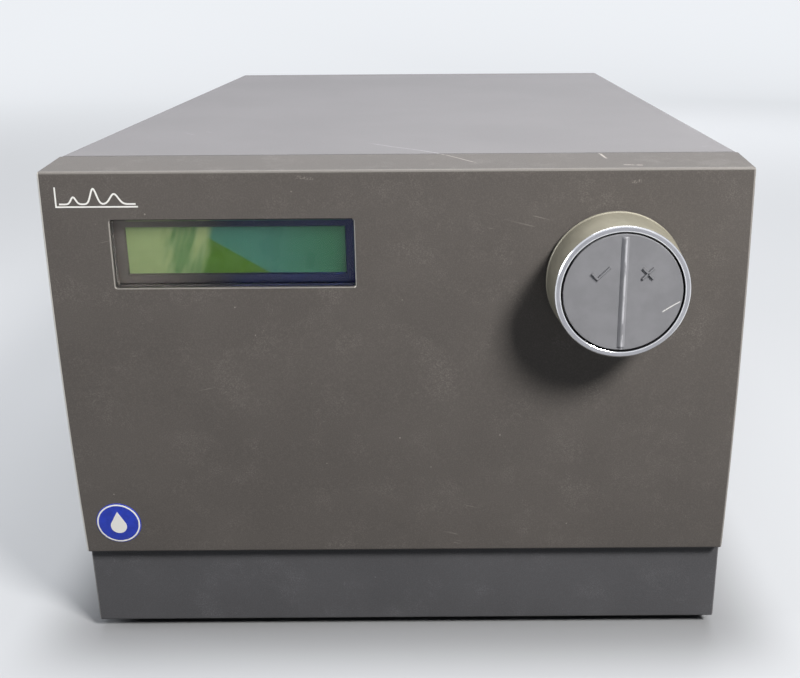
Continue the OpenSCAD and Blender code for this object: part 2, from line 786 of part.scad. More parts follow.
module key_disc() {
    hub_end = y_pivot + key_pin_r + 1.4;
    color([0.53, 0.53, 0.55]) difference() {
        union() {
            rod_y(knob_x, z_knob, y_key, y_key_back, key_r);
            // rounded rib across the disc, from edge to edge
            intersection() {
                rod_z(knob_x, y_key - rib_h + rib_w / 2, z_knob - key_r + 1, z_knob + key_r - 1, rib_w / 2);
                block([knob_x - rib_w, y_key - rib_h, z_knob - key_r],
                    [knob_x + rib_w, y_key + cut, z_knob + key_r]);
            }
            // two lugs on the pivot pin
            for (s = [-1, 1]) translate([0, 0, s * lug_off]) {
                block([knob_x - key_pin_r - 1.4, y_key_back - cut, z_knob - lug_w / 2],
                    [knob_x + key_pin_r + 1.4, y_pivot, z_knob + lug_w / 2]);
                rod_z(knob_x, y_pivot, z_knob - lug_w / 2, z_knob + lug_w / 2, hub_end - y_pivot);
            }
        }
        rod_z(knob_x, y_pivot, z_knob - post_r, z_knob + post_r, key_pin_r + run_gap);
    }
}

module key_pin() {
    pin_half = post_r - 0.6;
    color([0.75, 0.75, 0.76]) rod_z(knob_x, y_pivot, z_knob - pin_half, z_knob + pin_half, key_pin_r);
}

module knob_post() {
    color([0.25, 0.25, 0.26]) difference() {
        union() {
            rod_y(knob_x, z_knob, y_post, y_fboard, post_r);
            rod_y(knob_x, z_knob, y_flange, y_fboard, flange_r);
        }
        rod_y(knob_x, z_knob, y_post - cut, y_shelf, post_in_r);
        rod_y(knob_x, z_knob, y_shelf + shelf_t, y_fboard + cut, post_in_r);
        rod_z(knob_x, y_pivot, z_knob - post_r - cut, z_knob + post_r + cut, key_pin_r + 0.02);
        // way through the shelf for the switch leads
        rod_y(knob_x, z_knob, y_shelf - cut, y_shelf + shelf_t + cut, 2.5);
    }
}

module key_switches() {
    color([0.1, 0.1, 0.1]) for (s = [-1, 1]) difference() {
        block([knob_x + s * plunger_off - switch_w / 2, y_switch, z_knob - switch_w / 2],
            [knob_x + s * plunger_off + switch_w / 2, y_shelf, z_knob + switch_w / 2]);
        rod_y(knob_x + s * plunger_off, z_knob, y_switch - cut, y_switch + 2, plunger_r + run_gap);
    }
}

// Plunger that follows one side of the key disc: its tip is domed, its foot runs in the switch
module plunger(s) {
    y_tip = y_key_back + seat_gap + 0.1;
    color([0.85, 0.85, 0.82]) {
        rod_y(knob_x + s * plunger_off, z_knob, y_tip + 0.4, y_switch + 1, plunger_r);
        cone_y(knob_x + s * plunger_off, z_knob, y_tip, y_tip + 0.4, plunger_r - 0.5, plunger_r);
    }
}
module ok_plunger() { plunger(-1); }
module esc_plunger() { plunger(1); }

module front_board() {
    color([0.1, 0.35, 0.2]) difference() {
        block([knob_x - fboard_half_w, y_fboard, z_knob - fboard_half_h],
            [knob_x + fboard_half_w, y_fboard + board_t, z_knob + fboard_half_h]);
        rod_y(knob_x, z_knob, y_fboard - cut, y_fboard + board_t + cut, 5);
        for (sx = [-1, 1], sz = [-1, 1])
            rod_y(knob_x + sx * (fboard_half_w - 4), z_knob + sz * (fboard_half_h - 4), y_fboard - cut,
                y_fboard + board_t + cut, pass_r);
    }
}

// Two forked light gates that straddle the encoder wheel's slots
module encoder_sensors() {
    gate_w = 7;
    throat = 1.4;
    r0 = encoder_r - 5.5;
    r1 = encoder_r + 3.5;
    y0 = y_encoder - throat - 1.1;
    color([0.09, 0.09, 0.1]) for (a = [0, 187.5]) translate([knob_x, 0, z_knob]) rotate([0, a, 0])
        difference() {
            block([r0, y0, -gate_w / 2], [r1, y_fboard, gate_w / 2]);
            block([r0 - cut, y_encoder - throat, -gate_w], [encoder_r + 0.8, y_encoder + encoder_t + throat,
                gate_w]);
        }
}

// ---------- Boards and power supply ----------

module main_board() {
    color([0.1, 0.35, 0.2]) board_z(x_main, y_main, z_main, main_w, main_l);
}

module psu_board() {
    color([0.45, 0.35, 0.15]) board_z(x_main, y_psu, z_main, psu_w, psu_l);
}

module board_standoffs() {
    color([0.8, 0.75, 0.5]) {
        standoffs_z(x_main, y_main, main_w, main_l);
        standoffs_z(x_main, y_psu, psu_w, psu_l);
        for (sx = [-1, 1], sz = [-1, 1])
            difference() {
                rod_y(knob_x + sx * (fboard_half_w - 4), z_knob + sz * (fboard_half_h - 4),
                    y_fboard + board_t, y_plate, standoff_r);
                rod_y(knob_x + sx * (fboard_half_w - 4), z_knob + sz * (fboard_half_h - 4),
                    y_fboard, y_plate - cut, tap_r);
            }
    }
}

// Flat chip on the main board, its centre at a share u of the board's width and v of its length
module chip(u, v, w, l, h) {
    x = x_main + u * main_w;
    y = y_main + v * main_l;
    z0 = z_main + board_t;
    block([x - w / 2, y - l / 2, z0], [x + w / 2, y + l / 2, z0 + h]);
}

module board_chips() {
    chip_h = 3;
    color([0.08, 0.08, 0.08]) {
        chip(0.38, 0.29, 28, 28, chip_h);
        for (u = [0.64, 0.81]) chip(u, 0.29, 14, 20, chip_h);
        for (u = [0.24, 0.4, 0.56, 0.72]) chip(u, 0.52, 9, 20, chip_h);
        for (u = [0.28, 0.48, 0.68]) chip(u, 0.69, 11, 11, chip_h);
        chip(0.38, 0.83, 36, 15, chip_h);
    }
}

module board_connectors() {
    z0 = z_main + board_t;
    color([0.85, 0.83, 0.75]) {
        // ribbon header at the front of the main board, and its fellow on the front board
        block([x_ribbon_main - header_w / 2, y_ribbon - header_t / 2, z0],
            [x_ribbon_main + header_w / 2, y_ribbon + header_t / 2, z_main_header]);
        block([knob_x - header_w / 2, y_fboard + board_t, z_header - header_t / 2],
            [knob_x + header_w / 2, y_ribbon - ribbon_t / 2, z_header + header_t / 2]);
        // headers for the bench, the fan and the supply
        for (v = [0.44, 0.6]) chip(1 - 6 / main_w, v, 7, 18, header_h);
        chip(0.3, 1 - 8 / main_l, 20, 7, header_h);
    }
}

// Flat cable folded against the front plate, from the front board's header to the main board's
module ribbon_cable() {
    y0 = y_ribbon - ribbon_t / 2;
    y1 = y_ribbon + ribbon_t / 2;
    half = ribbon_w / 2;
    color([0.6, 0.6, 0.62]) union() {
        block([knob_x - half, y0, z_ribbon_turn], [knob_x + half, y1, z_header + header_t / 2]);
        block([x_ribbon_main - half, y0, z_ribbon_turn], [knob_x + half, y1, z_ribbon_turn + ribbon_w]);
        block([x_ribbon_main - half, y0, z_main_header], [x_ribbon_main + half, y1, z_ribbon_turn + 1]);
    }
}

module psu_transformer() {
    core_w = 38;
    core_l = 32;
    core_h = 30;
    coil_out = 6;
    leg_w = 9;
    yoke_h = 4;
    x0 = x_main + (psu_w - core_w) / 2;
    y0 = (y_small_cap + small_cap_r + y_big_cap - big_cap_r - core_l) / 2;
    z0 = z_main + board_t;
    color([0.35, 0.3, 0.15]) union() {
        block([x0, y0 + coil_out, z0], [x0 + core_w, y0 + core_l - coil_out, z0 + core_h]);
        block([x0 + leg_w, y0, z0 + yoke_h], [x0 + core_w - leg_w, y0 + core_l, z0 + core_h - yoke_h]);
    }
}

module psu_capacitors() {
    cap_gap = 4;
    z0 = z_main + board_t;
    color([0.1, 0.12, 0.2]) {
        for (s = [-1, 1])
            rod_z(x_main + psu_w / 2 + s * (big_cap_r + cap_gap), y_big_cap, z0, z0 + big_cap_h, big_cap_r);
        for (s = [-1:1])
            rod_z(x_main + psu_w / 2 + s * (2 * small_cap_r + cap_gap), y_small_cap, z0, z0 + small_cap_h,
                small_cap_r);
    }
}

// Board behind the data ports, standing on the ports' bodies
module io_board() {
    y0 = y_panel - io_gap - board_t;
    color([0.1, 0.35, 0.2]) block([port_xs[0] - port_pitch / 2, y0, z_port - io_half_h],
        [port_xs[port_count - 1] + port_pitch / 2, y0 + board_t, z_port + io_half_h]);
}

// ---------- Rear panel and what it carries ----------

// Outline of a nine-way data port's shell, wider at the top
module port_outline(grow) {
    w = 8.2 + grow;
    h = 4 + grow;
    polygon([[-w, h], [w, h], [w - 1.2, -h], [-w + 1.2, -h]]);
}
// The outline drawn along Y between two ends
module port_shell(x, y0, y1, grow) {
    translate([x, y1, z_port]) rotate([90, 0, 0]) linear_extrude(y1 - y0) port_outline(grow);
}

module rear_panel() {
    h_top = z_top - cover_t - clear_gap;
    vent_pitch = 7;
    vent_h = 3.6;
    rows = floor((fan_bore - 4) / vent_pitch);
    color([0.68, 0.69, 0.7]) difference() {
        union() {
            block([-x_in, y_panel, z_base], [x_in, y_back, h_top]);
            for (s = [-1, 1])
                block([s > 0 ? x_in - panel_t : -x_in, y_panel - panel_fold, z_floor + 1],
                    [s > 0 ? x_in : -x_in + panel_t, y_back, h_top]);
            block([-x_in, y_panel - panel_fold, h_top - panel_t], [x_in, y_back, h_top]);
        }
        block([inlet_x - inlet_w / 2 - seat_gap, y_panel - cut, z_inlet - inlet_h / 2 - seat_gap],
            [inlet_x + inlet_w / 2 + seat_gap, y_back + cut, z_inlet + inlet_h / 2 + seat_gap]);
        for (i = [-rows:rows]) let (half = sqrt(fan_bore * fan_bore - pow(i * vent_pitch, 2)) - 4)
            for (s = [-1, 1])
                block([s > 0 ? fan_x + 2 : fan_x - half, y_panel - cut, z_fan + i * vent_pitch - vent_h / 2],
                    [s > 0 ? fan_x + half : fan_x - 2, y_back + cut, z_fan + i * vent_pitch + vent_h / 2]);
        for (sx = [-1, 1], sz = [-1, 1])
            rod_y(fan_x + sx * fan_screw_off, z_fan + sz * fan_screw_off, y_panel - cut, y_back + cut,
                pass_r);
        for (x = fibre_xs) rod_y(x, z_fibre, y_panel - cut, y_back + cut, fibre_body_r + seat_gap);
        for (x = port_xs) {
            port_shell(x, y_panel - cut, y_back + cut, seat_gap);
            for (s = [-1, 1]) rod_y(x + s * jack_pitch / 2, z_port, y_panel - cut, y_back + cut, pass_r);
        }
        for (s = [-1, 1], z = panel_screw_zs)
            rod_y(s * panel_screw_x, z, y_panel - cut, y_back + cut, pass_r);
    }
}

// Screws of the rear panel's lower brackets, and of the fan
module rear_screws() {
    color([0.78, 0.78, 0.79]) {
        for (s = [-1, 1], z = panel_screw_zs) screw_y(s * panel_screw_x, z, y_back, 1);
        for (sx = [-1, 1], sz = [-1, 1])
            screw_y(fan_x + sx * fan_screw_off, z_fan + sz * fan_screw_off, y_back, 1);
    }
}

module mains_inlet() {
    w = inlet_w / 2;
    h = inlet_h / 2;
    z_sw = z_inlet + rocker_up;
    z_dr = z_inlet + drawer_down;
    y0 = y_back - inlet_d;
    color([0.07, 0.07, 0.07]) difference() {
        union() {
            block([inlet_x - w, y0, z_inlet - h], [inlet_x + w, y_back, z_inlet + h]);
            block([inlet_x - w - inlet_rim, y_back, z_inlet - h - inlet_rim],
                [inlet_x + w + inlet_rim, y_flange_out, z_inlet + h + inlet_rim]);
        }
        // socket
        block([inlet_x - socket_w / 2, y_flange_out - socket_d, z_inlet - socket_h / 2],
            [inlet_x + socket_w / 2, y_flange_out + cut, z_inlet + socket_h / 2]);
        // rocker's well, and the trunnion bore across it
        block([inlet_x - rocker_w / 2 - clear_gap, y_flange_out - rocker_well,
            z_sw - rocker_h / 2 - clear_gap],
            [inlet_x + rocker_w / 2 + clear_gap, y_flange_out + cut, z_sw + rocker_h / 2 + clear_gap]);
        rod_x(y_rocker, z_sw, inlet_x - rocker_w / 2 - 3, inlet_x + rocker_w / 2 + 3, trunnion_r + run_gap);
        // fuse drawer's slot
        block([inlet_x - drawer_w / 2 - run_gap, y_flange_out - drawer_d - clear_gap,
            z_dr - drawer_h / 2 - run_gap],
            [inlet_x + drawer_w / 2 + run_gap, y_flange_out + cut, z_dr + drawer_h / 2 + run_gap]);
    }
}

module inlet_pins() {
    pin_l = 14;
    tab_l = 8;
    y_root = y_flange_out - socket_d;
    color([0.85, 0.8, 0.6]) for (p = [[-7, -2, 0], [7, -2, 0], [0, 2, 1]]) {
        block([inlet_x + p[0] - 1, y_root, z_inlet + p[1] - 2],
            [inlet_x + p[0] + 1, y_root + pin_l + p[2], z_inlet + p[1] + 2]);
        // solder tab behind the module
        block([inlet_x + p[0] - 0.5, y_back - inlet_d - tab_l, z_inlet + p[1] - 2],
            [inlet_x + p[0] + 0.5, y_back - inlet_d, z_inlet + p[1] + 2]);
    }
}

// Rocker at rest on its lower end: the shape is turned about its trunnions by half the throw
module power_rocker() {
    color([0.06, 0.06, 0.06]) translate([inlet_x, y_rocker, z_inlet + rocker_up])
        rotate([-rocker_deg / 2, 0, 0]) {
            rotate([90, 0, 90]) translate([0, 0, -rocker_w / 2]) linear_extrude(rocker_w)
                polygon([[-3, -rocker_h / 2 + 3], [rocker_face, -rocker_h / 2 + 0.8], [rocker_face - 1.2, 0],
                    [rocker_face, rocker_h / 2 - 0.8], [-3, rocker_h / 2 - 3]]);
            rod_x(0, 0, -rocker_w / 2 - 2.5, rocker_w / 2 + 2.5, trunnion_r);
        }
}

module fuse_drawer() {
    z_dr = z_inlet + drawer_down;
    y0 = y_flange_out - drawer_d;
    lip = 1.5;
    color([0.09, 0.09, 0.1]) difference() {
        union() {
            block([inlet_x - drawer_w / 2, y0, z_dr - drawer_h / 2],
                [inlet_x + drawer_w / 2, y_flange_out, z_dr + drawer_h / 2]);
            block([inlet_x - drawer_w / 2 - lip, y_flange_out + 0.1, z_dr - drawer_h / 2 - lip / 2],
                [inlet_x + drawer_w / 2 + lip, y_flange_out + 2, z_dr + drawer_h / 2 + lip / 2]);
            block([inlet_x - drawer_w / 2, y_flange_out - cut, z_dr - drawer_h / 2],
                [inlet_x + drawer_w / 2, y_flange_out + 1, z_dr + drawer_h / 2]);
        }
        // tray that the two fuses lie in, open on top
        block([inlet_x - drawer_w / 2 + 1, y0 + 1, z_dr - drawer_h / 2 + 1.5],
            [inlet_x + drawer_w / 2 - 1, y0 + 23, z_dr + drawer_h / 2 + cut]);
        // finger notch
        block([inlet_x - 5, y_flange_out + 1, z_dr + drawer_h / 2 - 2.5],
            [inlet_x + 5, y_flange_out + 3, z_dr + drawer_h / 2 + 1]);
    }
}

module fuses() {
    fuse_r = 2.6;
    fuse_l = 20;
    z_dr = z_inlet + drawer_down - drawer_h / 2 + 1.5 + fuse_r;
    y0 = y_flange_out - drawer_d + 2.5;
    color([0.8, 0.82, 0.82]) for (s = [-1, 1]) rod_y(inlet_x + s * 5, z_dr, y0, y0 + fuse_l, fuse_r);
}

module fan_frame() {
    color([0.06, 0.06, 0.06]) difference() {
        union() {
            difference() {
                block([fan_x - fan_w / 2, y_fan, z_fan - fan_w / 2],
                    [fan_x + fan_w / 2, y_panel, z_fan + fan_w / 2]);
                rod_y(fan_x, z_fan, y_fan - cut, y_panel + cut, fan_bore);
            }
            // motor plate and its four struts at the front of the frame
            rod_y(fan_x, z_fan, y_fan, y_fan + 3, fan_hub_r);
            for (a = [45, 135]) translate([fan_x, 0, z_fan]) rotate([0, a, 0])
                block([-fan_bore - 1, y_fan, -2], [fan_bore + 1, y_fan + 2.5, 2]);
            rod_y(fan_x, z_fan, y_fan, y_fan + 12, 4);
        }
        rod_y(fan_x, z_fan, y_fan + 1, y_fan + 13, fan_shaft_r + run_gap);
        for (sx = [-1, 1], sz = [-1, 1])
            rod_y(fan_x + sx * fan_screw_off, z_fan + sz * fan_screw_off, y_panel - screw_len - 2,
                y_panel + cut, tap_r);
    }
}

module fan_rotor() {
    blade_n = 7;
    y0 = y_fan + 4;
    y1 = y_panel - 2;
    color([0.1, 0.1, 0.1]) {
        difference() {
            rod_y(fan_x, z_fan, y0, y1, fan_hub_r - 1);
            rod_y(fan_x, z_fan, y0 - cut, y1 - 2, fan_hub_r - 3);
        }
        rod_y(fan_x, z_fan, y_fan + 2, y1 - cut, fan_shaft_r);
        translate([fan_x, (y0 + y1) / 2, z_fan]) for (i = [0:blade_n - 1])
            rotate([0, i * 360 / blade_n, 0]) translate([fan_hub_r - 2, 0, 0]) rotate([38, 0, 0])
                translate([0, -10, -0.8]) cube([fan_bore - fan_hub_r + 1, 20, 1.6]);
    }
}

module fibre_ports() {
    inner = 6;
    nut_h = 2.5;
    color([0.85, 0.72, 0.35]) for (x = fibre_xs) difference() {
        union() {
            rod_y(x, z_fibre, y_panel - inner, y_back + fibre_out, fibre_body_r);
            translate([x, y_back, z_fibre]) rotate([-90, 0, 0]) cylinder(h = nut_h, r = fibre_nut_r, $fn = 6);
            rod_y(x, z_fibre, y_panel - 2, y_panel, fibre_nut_r - 0.5);
        }
        rod_y(x, z_fibre, y_back, y_back + fibre_out + cut, fibre_bore_r);
        rod_y(x, z_fibre, y_panel - inner - cut, y_back + cut, lead_core_r);
    }
}

// Fibres inside the case, from the bench's hood to the rear ports
module fibre_leads() {
    color([0.1, 0.25, 0.6]) for (x = fibre_xs)
        rod_y(x, z_fibre, y_hood_back, y_panel - 6, lead_r);
}

module signal_ports() {
    flange_half_w = 15.4;
    flange_half_h = 6.2;
    color([0.75, 0.76, 0.78]) for (x = port_xs) difference() {
        union() {
            port_shell(x, y_panel - 1, y_back + 3.5, 0);
            block([x - flange_half_w, y_panel - 1, z_port - flange_half_h],
                [x + flange_half_w, y_panel, z_port + flange_half_h]);
            block([x - 9.5, y_panel - io_gap, z_port - 5], [x + 9.5, y_panel - 1, z_port + 5]);
        }
        for (s = [-1, 1])
            rod_y(x + s * jack_pitch / 2, z_port, y_panel - 2 * cut, y_panel + cut, pass_r);
    }
}

// Hexagonal jack screws beside each data port, tapped from the outside
module port_jackscrews() {
    hex_h = 5;
    color([0.8, 0.8, 0.82]) for (x = port_xs, s = [-1, 1]) difference() {
        union() {
            translate([x + s * jack_pitch / 2, y_back, z_port]) rotate([-90, 0, 0])
                cylinder(h = hex_h, r = 2.75, $fn = 6);
            rod_y(x + s * jack_pitch / 2, z_port, y_panel - 5, y_back, screw_r);
        }
        rod_y(x + s * jack_pitch / 2, z_port, y_back, y_back + hex_h + cut, jack_bore_r);
    }
}

// ---------- Optical bench ----------

module optical_base() {
    color([0.3, 0.3, 0.31]) difference() {
        union() {
            block([x_bench, y_bench, z_bench], [x_bench + bench_w, y_bench + bench_l, z_optic]);
            // upright behind the concave mirror
            block([mirror_x - mirror_r, mirror_back - upright_t, z_optic],
                [mirror_x + mirror_r, mirror_back, z_beam + mirror_r]);
            // upright that holds the condenser lens
            block([lamp_x - lens_r - 4, lens_y - upright_t / 2, z_optic],
                [lamp_x + lens_r + 4, lens_y + upright_t / 2, z_beam + lens_r + 4]);
            // bearing boss under the grating
            rod_z(grating_x, grating_y, z_optic, z_table - clear_gap, shaft_r + 4);
        }
        rod_y(lamp_x, z_beam, lens_y - upright_t, lens_y + upright_t, lens_r + run_gap);
        rod_z(grating_x, grating_y, z_bench + 1, z_table, shaft_r + run_gap);
    }
}

module base_isolators() {
    edge = 12;
    color([0.1, 0.1, 0.1])
        for (x = [x_bench + edge, x_bench + bench_w - edge], y = [y_bench + edge, y_bench + bench_l - edge])
            rod_z(x, y, z_floor, z_bench, isolator_r);
}

module optics_hood() {
    color([0.1, 0.1, 0.11]) difference() {
        block([x_bench, y_bench, z_optic], [x_bench + bench_w, y_hood_back, z_optic + hood_h]);
        block([x_bench + hood_t, y_bench + hood_t, z_optic - cut],
            [x_bench + bench_w - hood_t, y_hood_back - hood_t, z_optic + hood_h - hood_t]);
    }
}

module lamp_housing() {
    half = lamp_r + 9;
    color([0.6, 0.61, 0.62]) difference() {
        block([lamp_x - half, lamp_y, z_optic], [lamp_x + half, lamp_y + lamp_l + 8, z_beam + half]);
        rod_y(lamp_x, z_beam, lamp_y - cut, lamp_y + lamp_l, lamp_r + run_gap);
        // cooling grooves across the top
        for (i = [0:4])
            block([lamp_x - half - cut, lamp_y + 6 + i * 8, z_beam + half - 5],
                [lamp_x + half + cut, lamp_y + 9 + i * 8, z_beam + half + cut]);
    }
}

module flash_lamp() {
    window_r = lamp_r - 4;
    color([0.8, 0.8, 0.84]) union() {
        rod_y(lamp_x, z_beam, lamp_y + 2, lamp_y + lamp_l, lamp_r);
        rod_y(lamp_x, z_beam, lamp_y, lamp_y + 3, window_r);
    }
}

module condenser_lens() {
    bulge_r = 2.2 * lens_r;
    lens_t = 4;
    color([0.85, 0.92, 0.95, 0.5]) intersection() {
        rod_y(lamp_x, z_beam, lens_y - upright_t / 2, lens_y + upright_t / 2, lens_r);
        translate([lamp_x, lens_y - lens_t + bulge_r, z_beam]) sphere(r = bulge_r, $fn = 96);
    }
}

module collimator_mirror() {
    mirror_t = 8;
    dish = 2;
    curve_r = 150;
    color([0.82, 0.84, 0.86]) difference() {
        rod_y(mirror_x, z_beam, mirror_back, mirror_back + mirror_t, mirror_r);
        translate([mirror_x, mirror_back + mirror_t - dish + curve_r, z_beam]) sphere(r = curve_r, $fn = 200);
    }
}

module diffraction_grating() {
    color([0.75, 0.6, 0.8])
        block([grating_x - grating_w / 2, grating_y - grating_t / 2, z_table + table_t],
            [grating_x + grating_w / 2, grating_y + grating_t / 2, z_table + table_t + grating_w]);
}

module grating_holder() {
    back_t = 4;
    back_w = grating_w - 8;
    table_rim = 2;
    color([0.35, 0.35, 0.36]) union() {
        rod_z(grating_x, grating_y, z_bench + table_rim, z_table, shaft_r);
        rod_z(grating_x, grating_y, z_table, z_table + table_t, grating_w / 2 + table_rim);
        block([grating_x - back_w / 2, grating_y + grating_t / 2, z_table + table_t / 2],
            [grating_x + back_w / 2, grating_y + grating_t / 2 + back_t, z_gear]);
    }
}

// An even number of teeth leaves a gap in the middle, where a tooth of the pinion stands
module sector_gear() {
    teeth_n = 18;
    hub_r = 11;
    span = (teeth_n - 1) * 360 / sector_teeth;
    color([0.75, 0.65, 0.35]) translate([grating_x, grating_y, z_gear]) union() {
        cylinder(h = gear_t, r = hub_r);
        linear_extrude(gear_t) teeth(sector_teeth, teeth_n, 90 - span / 2);
    }
}

module motor_pinion() {
    color([0.8, 0.7, 0.4]) translate([grating_x, motor_y, 0]) union() {
        translate([0, 0, z_gear - 1]) linear_extrude(gear_t + 2) teeth(pinion_teeth, pinion_teeth, -90);
        rod_z(0, 0, z_optic + motor_h - shaft_in, z_gear + gear_t + 2, motor_shaft_r);
    }
}

module stepper_motor() {
    half = motor_w / 2;
    pilot_r = 8;
    pilot_h = 2;
    color([0.12, 0.12, 0.12]) difference() {
        union() {
            block([grating_x - half, motor_y - half, z_optic],
                [grating_x + half, motor_y + half, z_optic + motor_h]);
            rod_z(grating_x, motor_y, z_optic + motor_h, z_optic + motor_h + pilot_h, pilot_r);
        }
        rod_z(grating_x, motor_y, z_optic + motor_h - shaft_in - clear_gap, z_optic + motor_h + pilot_h + cut,
            motor_shaft_r + run_gap);
    }
}

module photodiodes() {
    card_l = 44;
    card_up = 14;
    can_r = 4.2;
    can_h = 5;
    can_off = 10;
    x0 = x_bench + 10;
    y0 = y_bench + 72;
    color([0.2, 0.4, 0.25]) union() {
        block([x0, y0 - card_l / 2, z_optic], [x0 + board_t, y0 + card_l / 2, z_beam + card_up]);
        for (s = [-1, 1]) rod_x(y0 + s * can_off, z_beam, x0 + board_t, x0 + board_t + can_h, can_r);
    }
}

chassis_tray();
front_plate();
rear_panel();
top_cover();
front_bezel();
front_plinth();
feet();
foot_screws();
cover_screws();
rear_screws();
bezel_screws();
front_badge();
display_window();
lcd_board();
lcd_frame();
lcd_glass();
knob_ring();
ring_clip();
encoder_wheel();
key_disc();
key_pin();
knob_post();
key_switches();
ok_plunger();
esc_plunger();
front_board();
encoder_sensors();
main_board();
board_chips();
board_connectors();
board_standoffs();
ribbon_cable();
psu_board();
psu_transformer();
psu_capacitors();
io_board();
signal_ports();
port_jackscrews();
mains_inlet();
inlet_pins();
power_rocker();
fuse_drawer();
fuses();
fan_frame();
fan_rotor();
fibre_ports();
fibre_leads();
optical_base();
base_isolators();
optics_hood();
lamp_housing();
flash_lamp();
condenser_lens();
collimator_mirror();
diffraction_grating();
grating_holder();
sector_gear();
motor_pinion();
stepper_motor();
photodiodes();
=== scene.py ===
"""Bench UV absorbance monitor, dressed for rendering on top of its engineering model.

Every size is in metres in the model's own frame: X to the right seen from the front, Y to the
back, Z up, with the feet standing on Z = 0.
"""

import json
import math

import bmesh
import bpy
from bpy.props import FloatProperty, FloatVectorProperty, PointerProperty
from bpy.types import Operator, Panel, PropertyGroup
from mathutils import Matrix, Vector


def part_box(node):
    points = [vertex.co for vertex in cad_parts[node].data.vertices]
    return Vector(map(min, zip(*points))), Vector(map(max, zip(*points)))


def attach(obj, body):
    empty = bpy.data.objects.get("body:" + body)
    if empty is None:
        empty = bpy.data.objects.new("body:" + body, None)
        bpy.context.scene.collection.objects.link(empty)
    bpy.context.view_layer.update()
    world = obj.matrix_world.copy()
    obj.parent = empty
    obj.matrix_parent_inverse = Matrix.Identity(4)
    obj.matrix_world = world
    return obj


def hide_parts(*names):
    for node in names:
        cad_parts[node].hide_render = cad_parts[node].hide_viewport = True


bl_info = {
    "name": "UV Absorbance Monitor",
    "version": (1, 0, 0),
    "blender": (4, 5, 0),
    "location": "3D View > Sidebar > Monitor",
    "description": "Builds the shells, knob, display, back and finishes of a bench UV monitor",
    "category": "Object",
}

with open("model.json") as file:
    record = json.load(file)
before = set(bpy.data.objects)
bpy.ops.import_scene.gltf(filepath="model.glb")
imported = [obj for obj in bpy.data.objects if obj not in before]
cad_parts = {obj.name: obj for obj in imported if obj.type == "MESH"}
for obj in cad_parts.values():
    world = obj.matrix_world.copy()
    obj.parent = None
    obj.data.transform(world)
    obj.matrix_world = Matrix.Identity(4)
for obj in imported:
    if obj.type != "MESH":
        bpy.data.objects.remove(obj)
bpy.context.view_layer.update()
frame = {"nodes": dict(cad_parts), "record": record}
MM = 0.001


def mm(*pairs):
    """Pairs of millimetres as pairs of metres."""
    return [(a * MM, b * MM) for a, b in pairs]


# ---------------------------------------------------------------- Sizes and colours


def size(name, description, default):
    """A length that a user may change, in metres."""
    return FloatProperty(name=name, description=description, default=default, unit="LENGTH",
                         precision=5)


def paint(name, description, default):
    """A colour that a user may change, in linear light."""
    return FloatVectorProperty(name=name, description=description, default=default, size=3,
                               subtype="COLOR", min=0.0, max=1.0)


class ShellSizes(PropertyGroup):
    """Sizes of the outer shells that the engineering model leaves square."""

    face_bulge: size("Face bulge", "How far the bezel's face bulges at mid height", 2.75 * MM)
    top_drop: size("Top drop", "Fall of the bezel's top towards its front edge", 1.9 * MM)
    corner: size("Corner radius", "Rounding of the bezel's and the plinth's outer edges", 1.0 * MM)
    wall: size("Wall", "Wall thickness of the bezel and the plinth", 2.6 * MM)
    cover_bend: size("Cover bend", "Outer radius of the cover's upper bends", 2.0 * MM)
    sheet: size("Sheet", "Thickness of the cover's sheet", 1.2 * MM)


class DisplaySizes(PropertyGroup):
    """Sizes of the display window and the glass behind it."""

    opening_w: size("Opening width", "Width of the opening in the bezel", 90.0 * MM)
    opening_h: size("Opening height", "Height of the opening in the bezel", 25.6 * MM)
    gap: size("Gap", "Gap round the window", 0.4 * MM)
    sink: size("Sink", "Depth of the window's face below the bezel's face", 0.4 * MM)
    lip: size("Lip", "Rounding of the opening's edge", 0.35 * MM)


class KnobSizes(PropertyGroup):
    """Sizes of the selector ring and the key disc."""

    chamfer: size("Chamfer", "Width of the bright chamfer on the rim", 0.5 * MM)
    rim: size("Rim", "Width of the rim round the key disc", 2.1 * MM)
    lip: size("Base lip", "Height of the lip at the ring's base", 0.6 * MM)
    rib_w: size("Rib width", "Width of the raised rib", 3.0 * MM)
    legend: size("Legend width", "Width of the raised tick and cross", 6.4 * MM)
    stroke: size("Stroke", "Width of their strokes", 1.2 * MM)
    legend_rise: size("Legend rise", "Height of the tick and cross above the disc", 0.6 * MM)


class Colours(PropertyGroup):
    """Base colours of the finishes, in linear light."""

    bezel: paint("Bezel", "Warm dark grey of the moulded front", (0.088, 0.080, 0.0745))
    plinth: paint("Plinth", "Dark grey of the plinth", (0.069, 0.069, 0.074))
    cover: paint("Cover", "Grey of the painted cover", (0.181, 0.177, 0.184))
    knob: paint("Knob", "Satin champagne silver of the ring", (0.252, 0.236, 0.183))
    chrome: paint("Bright edge", "Polished chamfer of the ring", (0.88, 0.88, 0.89))
    rim: paint("Rim", "Satin rim of the ring", (0.43, 0.43, 0.455))
    key: paint("Key disc", "Mid grey of the key disc", (0.205, 0.207, 0.222))
    glass: paint("Display", "Green of the display", (0.052, 0.125, 0.010))
    badge: paint("Badge", "Blue of the badge", (0.012, 0.036, 0.400))
    floor: paint("Floor", "Pale floor and backdrop", (0.240, 0.245, 0.255))


# ---------------------------------------------------------------- Places taken from the frame


def corners(node):
    """Lowest and highest corner of an engineering node, as vectors."""
    low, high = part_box(node)
    return Vector(low), Vector(high)


def centre(low, high):
    """X and Z halfway between two corners."""
    return (low.x + high.x) / 2, (low.z + high.z) / 2


